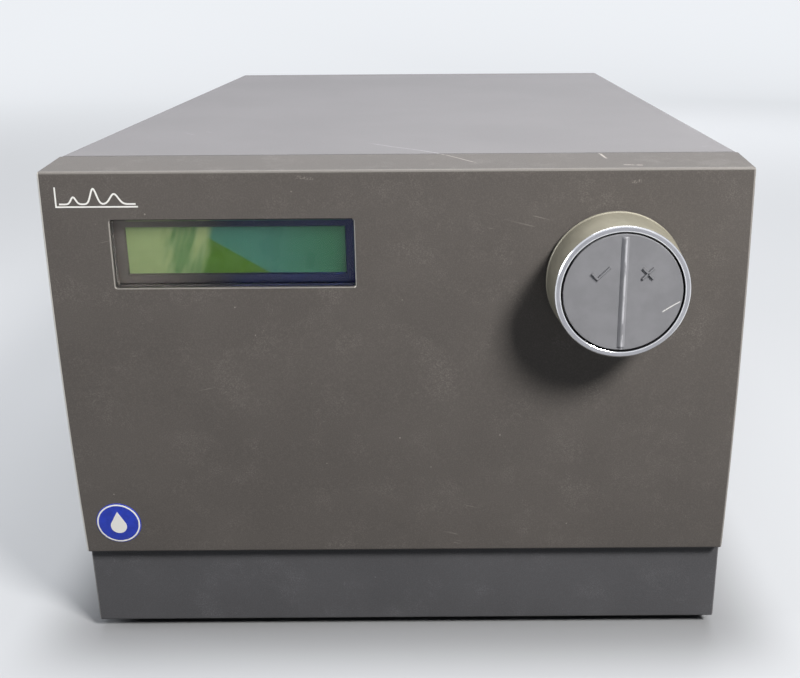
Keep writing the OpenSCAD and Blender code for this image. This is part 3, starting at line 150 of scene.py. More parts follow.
class Case:
    """Where the case's faces lie, read from the engineering model."""

    def __init__(self, shell):
        low, high = corners("front_bezel")
        self.half_w = high.x
        self.bulge = shell.face_bulge
        self.drop = shell.top_drop
        self.back = high.y
        self.bottom = low.z
        self.top = high.z
        self.top_front = high.z - shell.top_drop
        self.mid = (self.bottom + self.top_front) / 2
        self.half_h = (self.top_front - self.bottom) / 2
        self.radius = (self.half_h ** 2 + self.bulge ** 2) / (2 * self.bulge)
        self.front = low.y + self.bulge

    def reach(self, z):
        """How far the curved face stands in front of its chord at height z."""
        return math.sqrt(self.radius ** 2 - (z - self.mid) ** 2) - self.radius + self.bulge

    def face(self, z, proud=0.0):
        """Y of the curved face at height z, moved forwards by proud."""
        return self.front - self.reach(z) - proud

    def row(self, bm, points, proud=0.0):
        """Vertices at points in X and Z on the curved face, moved forwards by proud."""
        return [bm.verts.new((a, self.face(b, proud), b)) for a, b in points]


# ---------------------------------------------------------------- Mesh tools


def mesh_object(name, bm, *materials):
    """A new object from a bmesh, with its materials in order."""
    mesh = bpy.data.meshes.new(name)
    bmesh.ops.recalc_face_normals(bm, faces=bm.faces)
    bm.to_mesh(mesh)
    bm.free()
    obj = bpy.data.objects.new(name, mesh)
    bpy.context.scene.collection.objects.link(obj)
    for material in materials:
        mesh.materials.append(material)
    return obj


def join(bm, obj):
    """Adds a bmesh's form to an object's own mesh."""
    bm.from_mesh(obj.data)
    bm.to_mesh(obj.data)
    bm.free()


def settle(obj):
    """Turns an object's modifiers into its mesh."""
    evaluated = obj.evaluated_get(bpy.context.evaluated_depsgraph_get())
    mesh = bpy.data.meshes.new_from_object(evaluated)
    old = obj.data
    obj.modifiers.clear()
    obj.data = mesh
    bpy.data.meshes.remove(old)


def soften(obj, width, segments=3, angle=60.0):
    """Rounds an object's edges that are sharper than the angle."""
    bevel = obj.modifiers.new("soft edges", "BEVEL")
    bevel.width = width
    bevel.segments = segments
    bevel.limit_method = "ANGLE"
    bevel.angle_limit = math.radians(angle)
    settle(obj)


def carve(obj, *forms, operation="DIFFERENCE"):
    """Cuts an object by the forms in bmeshes, or joins them to it."""
    for form in forms:
        cutter = mesh_object("cutter", form)
        boolean = obj.modifiers.new("carve", "BOOLEAN")
        boolean.operation = operation
        boolean.solver = "EXACT"
        boolean.object = cutter
        settle(obj)
        bpy.data.meshes.remove(cutter.data)


LARGE_FACES = 90


def shade(obj, angle):
    """Smooth shading, broken at edges sharper than the angle, with large faces kept flat."""
    obj.data.shade_smooth()
    obj.data.set_sharp_from_angle(angle=math.radians(angle))
    weighted = obj.modifiers.new("flat faces", "WEIGHTED_NORMAL")
    weighted.keep_sharp = True
    weighted.weight = LARGE_FACES


def place(obj, body, slot, nodes=(), angle=35.0):
    """Finishes a piece: shading, the body it rides on, and the nodes it stands for; slot is not
    used.
    """
    shade(obj, angle)
    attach(obj, body)
    if nodes:
        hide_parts(*nodes)


def add_box(bm, low, high, mat=0):
    """Adds a box between two corners to a bmesh."""
    made = bmesh.ops.create_cube(bm, size=1.0)["verts"]
    middle = (Vector(low) + Vector(high)) / 2
    scale = Vector(high) - Vector(low)
    for v in made:
        v.co = Vector((v.co.x * scale.x, v.co.y * scale.y, v.co.z * scale.z)) + middle
    for f in {f for v in made for f in v.link_faces}:
        f.material_index = mat


def skin(bm, rows, caps=True):
    """Joins closed rows of vertices, one to the next, and caps both ends.

    The first row may be a single vertex.
    """
    n = len(rows[-1])
    for first, second in zip(rows, rows[1:]):
        for i in range(n):
            j = (i + 1) % n
            if len(first) == 1:
                bm.faces.new([first[0], second[i], second[j]])
            else:
                bm.faces.new([first[i], second[i], second[j], first[j]])
    if caps:
        bm.faces.new(rows[0])
        bm.faces.new(list(reversed(rows[-1])))


def add_prism(bm, outline, start, end, along="x"):
    """Adds a prism: a 2-D outline drawn from start to end along one axis.

    The outline's two numbers are the other two axes in X, Y, Z order.
    """
    def point(pair, t):
        a, b = pair
        return {"x": (t, a, b), "y": (a, t, b), "z": (a, b, t)}[along]

    skin(bm, [[bm.verts.new(point(p, t)) for p in outline] for t in (start, end)])


def add_lathe(bm, profile, centre, along="y", steps=96, closed=False, mats=None):
    """Adds a turned form: profile holds pairs of radius and distance along the axis.

    A radius of zero closes the form on the axis. closed joins the last point to the first.
    mats gives each band's material index.
    """
    cx, cy, cz = centre

    def point(r, t, a):
        c, s = r * math.cos(a), r * math.sin(a)
        return {"x": (cx + t, cy + c, cz + s), "y": (cx + c, cy + t, cz + s),
                "z": (cx + c, cy + s, cz + t)}[along]

    rings = []
    for r, t in profile:
        if r == 0:
            rings.append([bm.verts.new(point(0, t, 0))])
        else:
            rings.append([bm.verts.new(point(r, t, 2 * math.pi * k / steps)) for k in range(steps)])
    pairs = list(zip(rings, rings[1:]))
    if closed:
        pairs.append((rings[-1], rings[0]))
    for band, (a, b) in enumerate(pairs):
        for k in range(steps):
            m = (k + 1) % steps
            if len(a) == 1:
                f = bm.faces.new([a[0], b[k], b[m]])
            elif len(b) == 1:
                f = bm.faces.new([a[k], a[m], b[0]])
            else:
                f = bm.faces.new([a[k], a[m], b[m], b[k]])
            f.material_index = mats[band] if mats else 0


def arc(centre, radius, start, end, steps):
    """Points on an arc, with angles in degrees."""
    cx, cy = centre
    turns = [math.radians(start + (end - start) * i / steps) for i in range(steps + 1)]
    return [(cx + radius * math.cos(a), cy + radius * math.sin(a)) for a in turns]


def rounded_rect(x, z, half_w, half_h, r, steps=6):
    """Outline of a rectangle with round corners about a point."""
    x0, x1, y0, y1 = x - half_w + r, x + half_w - r, z - half_h + r, z + half_h - r
    return [p for at, turn in (((x1, y1), 0), ((x0, y1), 90), ((x0, y0), 180), ((x1, y0), 270))
            for p in arc(at, r, turn, turn + 90, steps)]


# ---------------------------------------------------------------- Shader expressions


class Wire:
    """One output of a shader node, usable in ordinary arithmetic on numbers."""

    def __init__(self, paintwork, socket):
        self.paintwork = paintwork
        self.socket = socket

    def maths(self, operation, *others):
        """A Math node of this wire and the others."""
        return self.paintwork.add("ShaderNodeMath", {"operation": operation},
                                  dict(enumerate((self,) + others)))

    def __add__(self, other):
        return self.maths("ADD", other)

    __radd__ = __add__

    def __mul__(self, other):
        return self.maths("MULTIPLY", other)

    __rmul__ = __mul__

    def __sub__(self, other):
        return self.maths("SUBTRACT", other)

    def __rsub__(self, other):
        return self.paintwork.add("ShaderNodeMath", {"operation": "SUBTRACT"}, {0: other, 1: self})

    def __truediv__(self, other):
        return self.maths("DIVIDE", other)

    def __abs__(self):
        return self.maths("ABSOLUTE")

    def above(self, level):
        """1 where the wire is above a level, 0 below."""
        return self.maths("GREATER_THAN", level)

    def between(self, low, high):
        """Rises from 0 at low to 1 at high, and stays there."""
        return self.paintwork.add("ShaderNodeMapRange", {"interpolation_type": "SMOOTHSTEP"},
                                  {"Value": self, "From Min": low, "From Max": high})

    def atleast(self, other):
        """The larger of the two."""
        return self.maths("MAXIMUM", other)


MIX_FIRST, MIX_SECOND, MIX_COLOUR = 6, 7, 2     # a Mix node's colour inputs and output


class Paintwork:
    """A material's node tree, made up in one go from named values."""

    def __init__(self, name, **fixed):
        self.material = bpy.data.materials.new(name)
        self.material.use_nodes = True
        self.tree = self.material.node_tree
        self.shader = self.tree.nodes["Principled BSDF"]
        self.output = self.tree.nodes["Material Output"]
        self.places = {}
        for socket, value in fixed.items():
            self.set(socket.replace("_", " "), value)

    def set(self, socket, value):
        """Gives the surface shader a value or a wire."""
        self.feed(self.shader.inputs[socket], value)

    def feed(self, socket, value):
        """Puts a number, a tuple or a wire into a socket."""
        if isinstance(value, Wire):
            self.tree.links.new(value.socket, socket)
        elif isinstance(value, (tuple, list)) and len(value) == 3 and socket.type == "RGBA":
            socket.default_value = (*value, 1.0)
        else:
            socket.default_value = value

    def add(self, kind, settings, sockets, out=0):
        """A node of a type: its settings are set first, then its sockets' values or wires."""
        node = self.tree.nodes.new(kind)
        stops = settings.pop("stops", None)
        for key, value in settings.items():
            setattr(node, key, value)
        if stops:
            ramp = node.color_ramp
            while len(ramp.elements) < len(stops):
                ramp.elements.new(0.5)
            for element, (position, colour) in zip(ramp.elements, stops):
                element.position = position
                element.color = (*colour, 1.0)
        for key, value in sockets.items():
            self.feed(node.inputs[key], value)
        return Wire(self, node.outputs[out])

    def where(self, turn=(0, 0, 0), stretch=(1, 1, 1)):
        """Place on the piece in metres, turned and stretched."""
        key = (turn, stretch)
        if key not in self.places:
            base = self.add("ShaderNodeTexCoord", {}, {}, "Object")
            turned = [math.radians(a) for a in turn]
            self.places[key] = self.add("ShaderNodeMapping", {"vector_type": "TEXTURE"}, {
                "Vector": base, "Rotation": turned, "Scale": [1 / s for s in stretch]})
        return self.places[key]

    def axis(self, index):
        """One coordinate of the place: 0, 1 or 2 for X, Y or Z."""
        return self.add("ShaderNodeSeparateXYZ", {}, {"Vector": self.where()}, index)

    def facing(self, index):
        """One part of the surface's own direction."""
        normal = self.add("ShaderNodeNewGeometry", {}, {}, "Normal")
        return self.add("ShaderNodeSeparateXYZ", {}, {"Vector": normal}, index)

    def noise(self, grain, detail=3.0, rough=0.55, **place):
        """Noise whose patches are about the given size in metres, from 0 to 1."""
        return self.add("ShaderNodeTexNoise", {}, {
            "Vector": self.where(**place), "Scale": 1.0 / grain, "Detail": detail,
            "Roughness": rough})

    def specks(self, grain, edge, core, share=(0.50, 0.60), spread=0.02):
        """1 on small dots scattered about a grain apart, kept in patches of the given spread."""
        return self.cells(grain).between(edge, core) * self.noise(spread).between(*share)

    def cells(self, grain):
        """Distance to the nearest of scattered points, about the given size apart."""
        return self.add("ShaderNodeTexVoronoi", {}, {"Vector": self.where(), "Scale": 1.0 / grain})

    def blend(self, mask, first, second):
        """first where the mask is 0, second where it is 1."""
        return self.add("ShaderNodeMix", {"data_type": "RGBA"},
                        {"Factor": mask, MIX_FIRST: first, MIX_SECOND: second}, MIX_COLOUR)

    def mottle(self, mask, colour, low, high):
        """A colour made darker where the mask is 0 and lighter where it is 1."""
        return self.blend(mask, shaded(colour, low), shaded(colour, high))

    def done(self, base, rough, relief, depth):
        """Sets colour, roughness and a relief of some depth in metres, and gives the material."""
        self.set("Base Color", base)
        self.set("Roughness", rough)
        self.set("Normal", self.add("ShaderNodeBump", {}, {"Strength": 1.0, "Distance": depth,
                                                           "Height": relief}))
        return self.material

    def scratches(self, grain, share, **place):
        """1 on straight hairlines along the stretched direction, in a share of all places."""
        line = self.noise(grain, detail=0.0, **place)
        gate = self.noise(grain * 60, detail=2.0)
        return line.between(0.76, 0.80) * gate.between(0.72 - share * 0.4, 0.76 - share * 0.4)

    def score(self, first, second, start, end, width):
        """1 on one thin broken line between two points, given along two of the axes."""
        run, climb = end[0] - start[0], end[1] - start[1]
        length = math.hypot(run, climb)
        c, s = run / length, climb / length
        u, v = self.axis(first) - start[0], self.axis(second) - start[1]
        along = u * c + v * s
        wander = (self.noise(length * 0.4, detail=2.0) - 0.5) * length * 0.06
        line = abs(v * c - u * s + wander).between(width, width * 0.4)
        ends = along.between(0.0, length * 0.12) * along.between(length, length * 0.94)
        return line * ends * self.noise(length * 0.12).between(0.34, 0.46)

    def highlight_edge(self, first, second):
        """1 on a rounded edge between faces that look along two of the axes."""
        return abs(self.facing(first) * self.facing(second)).between(0.05, 0.30)


def shaded(colour, factor):
    """A colour made lighter or darker."""
    return tuple(min(1.0, c * factor) for c in colour)


# where marks start and end: the score and the nicks in X and Y, the smears in X and Z
SCORE = ((-0.0146, -0.1427), (0.0313, -0.1908))
NICKS = (((0.0770, -0.1746), (0.0786, -0.1840)), ((0.0830, -0.1938), (0.0905, -0.1946)))
SMEARS = (((-0.0375, 0.1942), (-0.0300, 0.1932)), ((0.0845, 0.1914), (0.0895, 0.1919)))
SCORE_WIDTH, NICK_WIDTH, SMEAR_WIDTH = 0.4 * MM, 0.6 * MM, 0.8 * MM
# pale colour of the painted highlights on the rounded edges of the bezel and the plinth
EDGE_HIGHLIGHT = (0.72, 0.70, 0.66)


def moulded(name, colour, left):
    """Moulded plastic with a fine spark-eroded grain, polished patches, specks and faint scuffs.

    left is how bright the painted highlight on the left edge is; the top-front and right edges get
    fainter ones.
    """
    p = Paintwork(name, IOR=1.38, Specular_IOR_Level=0.3)
    blotch = p.noise(0.035, detail=4.0)
    fine = p.noise(0.0005, detail=3.0, rough=0.75)
    polished = p.noise(0.018, detail=4.0, rough=0.7).between(0.50, 0.70)
    scuff = p.scratches(0.0007, 0.12, turn=(0, 78, 0), stretch=(1, 1, 0.05)) \
        .atleast(p.scratches(0.0009, 0.15, turn=(0, 104, 0), stretch=(1, 1, 0.06)))
    on_top = p.facing(2).between(0.6, 0.8)
    on_face = p.facing(1).between(-0.6, -0.8)
    wear = (scuff * 0.22).atleast(p.specks(0.0075, 0.055, 0.028) * 0.5) \
        .atleast(p.score(0, 1, *SCORE, SCORE_WIDTH) * on_top * 0.6)
    for nick in NICKS:
        wear = wear.atleast(p.score(0, 1, *nick, NICK_WIDTH) * on_top * 0.8)
    for smear in SMEARS:
        patch = p.score(0, 2, *smear, SMEAR_WIDTH) * on_face * fine.between(0.40, 0.62)
        wear = wear.atleast(patch * 0.28)
    base = p.mottle(blotch.between(0.3, 0.7), colour, 0.95, 1.06)
    base = p.blend(fine.between(0.40, 0.72) * (polished * 0.44 + 0.29), base, shaded(colour, 2.0))
    base = p.blend(wear, base, shaded(colour, 4.5))
    # painted highlights on the rounded edges: faint on the top-front edge, brightest on the left
    # edge where the light falls, weak on the right
    top_highlight = p.highlight_edge(1, 2) * p.facing(2).between(0.0, 0.2) * 0.12
    side_highlight = p.highlight_edge(0, 1) * (p.facing(0).between(0.0, -0.2) * 0.75 + 0.2) * left
    return p.done(p.blend(top_highlight.atleast(side_highlight), base, EDGE_HIGHLIGHT),
                  (blotch - 0.5) * 0.16 + 0.42 - polished * 0.05, fine - scuff * 0.4, 0.00003)


def enamel(name, colour):
    """Textured stove enamel on sheet steel: orange peel, fine grain, light rubs and scratches."""
    p = Paintwork(name, IOR=1.5, Specular_IOR_Level=0.04)
    peel = p.noise(0.0011, detail=2.0, rough=0.5)
    fine = p.noise(0.00035, detail=1.0)
    blotch = p.noise(0.06, detail=4.0)
    rub = p.noise(0.05, detail=5.0, rough=0.7, stretch=(1, 0.25, 1), turn=(0, 0, 8)) \
        .between(0.55, 0.78)
    scratch = p.scratches(0.0009, 0.12, turn=(0, 0, 38), stretch=(1, 0.015, 1)) \
        .atleast(p.scratches(0.0007, 0.10, turn=(0, 0, -64), stretch=(1, 0.03, 1)))
    long_score = p.score(0, 1, *SCORE, SCORE_WIDTH) * p.facing(2).between(0.6, 0.8)
    marks = (rub * 0.10 + scratch * 0.35) \
        .atleast(p.specks(0.010, 0.050, 0.025, spread=0.03) * 0.3).atleast(long_score * 0.55)
    base = p.mottle(blotch.between(0.3, 0.7), colour, 0.96, 1.04)
    base = p.blend(fine.between(0.4, 0.65) * 0.25, base, shaded(colour, 1.3))
    return p.done(p.blend(marks, base, shaded(colour, 2.2)),
                  rub * 0.08 + (blotch - 0.5) * 0.10 + 0.60,
                  peel * 0.8 + fine * 0.4 - scratch * 0.6, 0.00003)


def turned_metal(name, colour, rough, lines=0.0004, metallic=1.0, depth=0.000006):
    """Metal with fine lines round it, hairline scratches and finger marks."""
    p = Paintwork(name, Metallic=metallic, IOR=1.6)
    line = p.noise(lines, detail=2.0, stretch=(0.04, 1.0, 0.04))
    marks = p.noise(0.012, detail=4.0, rough=0.6)
    nick = p.scratches(0.0004, 0.3, turn=(20, 30, 40), stretch=(1, 0.04, 1))
    return p.done(p.mottle(line * 0.5 + marks * 0.3, colour, 0.86, 1.12),
                  (line - 0.5) * 0.16 + (marks - 0.5) * 0.18 + nick * 0.15 + rough,
                  line - nick * 0.6, depth)


def sheet_metal(name, colour):
    """Zinc-plated sheet: rolling lines, dull patches and a few dark spots."""
    p = Paintwork(name, Metallic=1.0)
    roll = p.noise(0.0006, detail=2.0, stretch=(0.03, 1, 1))
    dull = p.noise(0.03, detail=4.0)
    spots = p.specks(0.012, 0.10, 0.05, share=(0.50, 0.62), spread=0.04)
    base = p.mottle(roll * 0.4 + dull * 0.6, colour, 0.88, 1.08)
    return p.done(p.blend(spots * 0.4, base, shaded(colour, 0.6)),
                  (dull - 0.5) * 0.25 + (roll - 0.5) * 0.1 + 0.34, roll, 0.000008)


def plastic(name, colour, rough, **fixed):
    """Small moulded plastic parts: fine grain, slight sheen and handling marks."""
    p = Paintwork(name, **fixed)
    fine = p.noise(0.0006, detail=2.0)
    marks = p.noise(0.01, detail=4.0)
    nick = p.scratches(0.0004, 0.3, turn=(40, 10, 15), stretch=(1, 0.05, 1))
    base = p.mottle(marks.between(0.3, 0.7), colour, 0.9, 1.12)
    return p.done(p.blend(nick * 0.4, base, shaded(colour, 2.2)), (marks - 0.5) * 0.2 + rough,
                  fine - nick * 0.5, 0.00002)


def rubber(name, colour):
    """Black rubber with a dull bloom and dust in its pores."""
    p = Paintwork(name, Sheen_Weight=0.15)
    bloom = p.noise(0.006, detail=4.0)
    return p.done(p.mottle(bloom.between(0.45, 0.8) * 0.6, colour, 1.0, 2.5),
                  (bloom - 0.5) * 0.2 + 0.78, p.noise(0.0005), 0.00003)


def circuit(name, colour, track):
    """Circuit board: solder mask over tracks, with tinned pads."""
    p = Paintwork(name, Coat_Weight=0.3, Coat_Roughness=0.2)
    runs = p.noise(0.0025, detail=1.0, stretch=(1, 0.12, 1)).between(0.5, 0.53)
    cross = p.noise(0.0025, detail=1.0, stretch=(0.12, 1, 1)).between(0.52, 0.55)
    tracks = runs.atleast(cross)
    pads = p.cells(0.004).between(0.16, 0.12)
    base = p.blend(tracks * 0.8, colour, track)
    p.set("Metallic", pads * 0.8)
    return p.done(p.blend(pads, base, (0.55, 0.55, 0.52)), p.noise(0.01) * 0.15 + 0.35 - pads * 0.1,
                  tracks * 0.5 + pads, 0.00004)


def clear(name, colour, rough, weight):
    """Clear plastic or glass with fine wipe marks."""
    p = Paintwork(name, Transmission_Weight=weight, IOR=1.45)
    wipe = p.noise(0.004, detail=3.0, stretch=(0.15, 1, 1))
    dust = p.cells(0.004).between(0.06, 0.03)
    return p.done(p.blend(dust * 0.4, colour, (0.8, 0.8, 0.8)), wipe * 0.06 + dust * 0.3 + rough,
                  wipe, 0.000002)


# ---------------------------------------------------------------- Finishes


FINISHES = {}


def finish_named(name):
    """A finish by name, mixed the first time it is asked for."""
    if name not in FINISHES:
        FINISHES[name] = MIXES[name](bpy.context.scene.monitor_colours)
    return FINISHES[name]


def window_clear(_):
    """Scratched clear acrylic over the display."""
    p = Paintwork("window acrylic", Transmission_Weight=1.0, IOR=1.18)
    wipe = p.noise(0.02, detail=3.0, stretch=(0.3, 1, 1))
    scratch = p.scratches(0.0004, 0.1, turn=(0, 66, 0), stretch=(1, 1, 0.03))
    return p.done(p.blend(wipe, (0.93, 0.96, 0.94), (0.98, 0.99, 0.98)),
                  wipe * 0.03 + scratch * 0.2 + 0.02, wipe, 0.0000002)


# painted reflections across the dark frame: warm grey at the left, slate blue at the right
MASK_REFLECTIONS = ((0.00, (0.150, 0.125, 0.115)), (0.26, (0.085, 0.072, 0.066)),
              (0.42, (0.030, 0.028, 0.034)), (0.50, (0.010, 0.013, 0.040)),
              (1.00, (0.006, 0.010, 0.062)))


def window_mask(_):
    """Dark frame round the display glass, with a painted reflection: warm grey at the left and
    slate blue to the right.
    """
    p = Paintwork("window mask", IOR=1.3)
    low, high = corners("lcd_frame")
    across = (p.axis(0) - low.x) / (high.x - low.x)
    cloud = p.noise(0.02, detail=3.0)
    tone = p.add("ShaderNodeValToRGB", {"stops": MASK_REFLECTIONS},
                 {"Fac": across + (cloud - 0.5) * 0.12}, "Color")
    return p.done(tone, cloud * 0.1 + 0.3, cloud, 0.000001)


CELLS = (16.0, 2.0)                             # faint grid on the glass, across and up


def display_green(colours):
    """Liquid crystal glass: a painted pale yellow-green reflection at the left, a green wedge, then
    teal.
    """
    p = Paintwork("display green", IOR=1.25, Coat_Weight=0.1, Coat_Roughness=0.1)
    x, z = centre(*corners("lcd_glass"))
    across = (p.axis(0) - (x - VIEW[0])) / (2 * VIEW[0])
    height = (p.axis(2) - (z - VIEW[1])) / (2 * VIEW[1])
    # painted reflection: soft streaks and a pale yellow-green veil over the left part of the glass
    streak = p.noise(0.006, detail=2.0, turn=(0, 20, 0), stretch=(1, 1, 0.22)).between(0.38, 0.62)
    soft = p.noise(0.010, detail=2.0)
    pale = (across + height * -0.05 + (soft - 0.5) * 0.04).between(0.365, 0.325)
    folds = across.between(0.12, 0.22)
    teal = (across + height * 0.37).between(0.640, 0.668).atleast(height.between(0.72, 0.78)) \
        * across.between(0.34, 0.40)
    cells_x = p.add("ShaderNodeMath", {"operation": "FRACT"}, {0: across * CELLS[0]})
    cells_z = p.add("ShaderNodeMath", {"operation": "FRACT"}, {0: height * CELLS[1]})
    lines = cells_x.above(0.90).atleast(cells_z.above(0.93)) * 0.04
    sheen = p.blend(streak * folds, (0.275, 0.335, 0.150), (0.105, 0.190, 0.070))
    cool = p.blend(across.between(0.55, 1.0) + (soft - 0.5) * 0.3,
                   (0.044, 0.150, 0.112), (0.030, 0.118, 0.062))
    tone = p.blend(teal, tuple(colours.glass), cool)
    tone = p.blend(pale, tone, sheen)
    tone = p.blend(lines, tone, shaded(colours.glass, 0.4))
    border = (across - 0.5).between(0.47, 0.50).atleast((height - 0.5).between(0.38, 0.50))
    return p.done(p.blend(border * 0.3, tone, (0.02, 0.05, 0.03)), soft * 0.08 + 0.24, soft,
                  0.000001)


def badge_blue(colours):
    """Glossy printed dome label, blue."""
    p = Paintwork("badge blue", Specular_IOR_Level=0.25, Coat_Weight=0.25, Coat_Roughness=0.06)
    cloud = p.noise(0.004, detail=3.0)
    return p.done(p.mottle(cloud.between(0.3, 0.7), colours.badge, 0.85, 1.15), cloud * 0.12 + 0.24,
                  p.noise(0.0009), 0.000006)


def print_white(_):
    """White screen print with tiny pinholes."""
    p = Paintwork("white print")
    wear = p.noise(0.0009, detail=3.0)
    return p.done(p.blend(wear.between(0.66, 0.78), (0.78, 0.78, 0.76), (0.42, 0.41, 0.40)),
                  wear * 0.15 + 0.42, wear, 0.000008)


def key_plastic(colours):
    """Painted key disc: fine satin, one pale scratch at its right, a painted highlight along the
    rib and painted shade on the raised signs' sides.
    """
    p = Paintwork("key satin", IOR=1.48)
    fine = p.noise(0.0004, detail=2.0)
    marks = p.noise(0.009, detail=4.0)
    nick = p.scratches(0.0004, 0.3, turn=(0, 52, 0), stretch=(1, 1, 0.05))
    x, z = centre(*corners("key_disc"))
    chip = p.score(0, 2, (x + 14.1 * MM, z - 7.2 * MM), (x + 20.7 * MM, z - 3.1 * MM), 0.28 * MM)
    # painted highlight along the rib's crest, set towards its lit right side, together with some
    # paint wear
    crest = abs(p.axis(0) - x - 0.25 * MM).between(0.5 * MM, 0.2 * MM) \
        * p.noise(0.0022, detail=3.0, stretch=(1, 1, 0.3)).between(0.42, 0.58)
    base = p.mottle(marks.between(0.3, 0.7), colours.key, 0.93, 1.07)
    base = p.blend(nick * 0.2 + crest * 0.6, base, shaded(colours.key, 2.8))
    legend = abs(p.axis(2) - z - LEGEND_UP).between(4.0 * MM, 3.6 * MM) \
        * abs(p.axis(0) - x).between(3.4 * MM, 3.8 * MM)
    # painted shade on the sloping sides of the raised tick and cross
    legend_shade = abs(p.facing(1)).between(0.97, 0.80) * legend
    base = p.blend(legend_shade * 0.62, base, shaded(colours.key, 0.2))
    return p.done(p.blend(chip * 0.85, base, (0.75, 0.75, 0.74)),
                  (marks - 0.5) * 0.14 + 0.42 + nick * 0.1, fine * 0.7 - nick * 0.4 - chip, 0.00003)


def ring_satin(colours):
    """Satin champagne lacquer over metal, with soft hand marks and a few dings."""
    p = Paintwork("knob satin", Metallic=0.30, IOR=1.5, Coat_Weight=0.1, Coat_Roughness=0.35)
    fine = p.noise(0.00035, detail=2.0)
    marks = p.noise(0.008, detail=4.0)
    ding = p.specks(0.005, 0.05, 0.03)
    base = p.mottle(marks.between(0.3, 0.7), colours.knob, 0.92, 1.08)
    return p.done(p.blend(ding * 0.6, base, shaded(colours.knob, 1.6)), (marks - 0.5) * 0.16 + 0.40,
                  fine * 0.8 - ding, 0.00002)


def transformer_mix(_):
    """Ferrite core wound with amber tape, ink marks faded."""
    p = Paintwork("ferrite and tape")
    tape = p.noise(0.004, detail=3.0, stretch=(1, 1, 0.2))
    wraps = p.add("ShaderNodeMath", {"operation": "FRACT"}, {0: p.axis(2) * 260.0})
    edge = wraps.between(0.08, 0.0)
    return p.done(p.blend(tape.between(0.4, 0.6), (0.30, 0.19, 0.03), (0.40, 0.27, 0.05)),
                  tape * 0.2 + 0.35 + edge * 0.2, tape * 0.3 - edge, 0.00005)


def ribbon_mix(_):
    """Flat grey cable with its wires side by side."""
    p = Paintwork("flat cable")
    wires = p.add("ShaderNodeMath", {"operation": "PINGPONG"}, {0: p.axis(0), 1: 0.635 * MM})
    grime = p.noise(0.01, detail=3.0)
    return p.done(p.blend(grime, (0.34, 0.34, 0.36), (0.42, 0.42, 0.44)), grime * 0.2 + 0.4,
                  wires.between(0.0, 0.6 * MM), 0.0002)


MIXES = {
    "bezel": lambda c: moulded("bezel plastic", c.bezel, 1.0),
    "plinth": lambda c: moulded("plinth plastic", c.plinth, 0.2),
    "cover": lambda c: enamel("cover enamel", c.cover),
    "zinc": lambda c: sheet_metal("zinc sheet", (0.60, 0.61, 0.62)),
    "rubber": lambda c: rubber("foot rubber", (0.018, 0.018, 0.019)),
    "screw": lambda c: turned_metal("screw steel", (0.56, 0.56, 0.57), 0.32, depth=0.000004),
    "black_screw": lambda c: turned_metal("blackened steel", (0.05, 0.05, 0.055), 0.42,
                                          metallic=0.7),
    "badge": badge_blue,
    "white": print_white,
    "window": window_clear,
    "mask": window_mask,
    "green": display_green,
    "board": lambda c: circuit("solder mask green", (0.012, 0.11, 0.04), (0.02, 0.17, 0.06)),
    "tan": lambda c: circuit("tan laminate", (0.26, 0.17, 0.05), (0.34, 0.20, 0.06)),
    "black_metal": lambda c: turned_metal("matt black metal", (0.03, 0.03, 0.03), 0.5,
                                          metallic=0.4),
    "ring": ring_satin,
    "chrome": lambda c: turned_metal("bright rim", c.chrome, 0.14, lines=0.0003, depth=0.000001),
    "rim": lambda c: turned_metal("satin rim", c.rim, 0.34, lines=0.0003, depth=0.000002),
    "key": key_plastic,
    "black": lambda c: plastic("black plastic", (0.020, 0.020, 0.022), 0.42),
    "nylon": lambda c: plastic("natural nylon", (0.68, 0.66, 0.58), 0.35, Subsurface_Weight=0.1),
    "nickel": lambda c: turned_metal("nickel plate", (0.66, 0.64, 0.60), 0.22, depth=0.000003),
    "ribbon": ribbon_mix,
    "transformer": transformer_mix,
    "capacitor": lambda c: plastic("capacitor sleeve", (0.012, 0.018, 0.06), 0.25, Coat_Weight=0.4),
    "fuse": lambda c: clear("fuse glass", (0.92, 0.95, 0.96), 0.03, 0.9),
    "brass": lambda c: turned_metal("turned brass", (0.58, 0.42, 0.16), 0.24),
    "jacket": lambda c: plastic("fibre jacket", (0.015, 0.06, 0.30), 0.3, Coat_Weight=0.2),
    "cast": lambda c: turned_metal("cast aluminium", (0.40, 0.40, 0.41), 0.45, lines=0.0012,
                                   depth=0.00003),
    "mirror": lambda c: turned_metal("mirror coat", (0.86, 0.88, 0.90), 0.05, depth=0.0000005),
    "motor": lambda c: turned_metal("motor black", (0.025, 0.025, 0.027), 0.38, metallic=0.5),
}

SLOT_FINISH = {
    "painted_cover": "cover", "bezel_plastic": "bezel", "zinc_sheet": "zinc",
    "foot_rubber": "rubber", "screw_steel": "screw", "black_screw": "black_screw",
    "badge_print": "badge", "window_acrylic": "window", "board_green": "board",
    "board_tan": "tan", "black_metal": "black_metal", "lcd_green": "green",
    "knob_silver": "ring", "key_grey": "key", "black_plastic": "black",
    "plunger_white": "nylon", "nickel": "nickel", "ribbon_grey": "ribbon",
    "transformer": "transformer", "capacitor": "capacitor", "fuse_glass": "fuse",
    "fibre_brass": "brass", "fibre_jacket": "jacket", "cast_alu": "cast",
    "mirror_coat": "mirror", "motor_black": "motor",
}


# ---------------------------------------------------------------- Shells


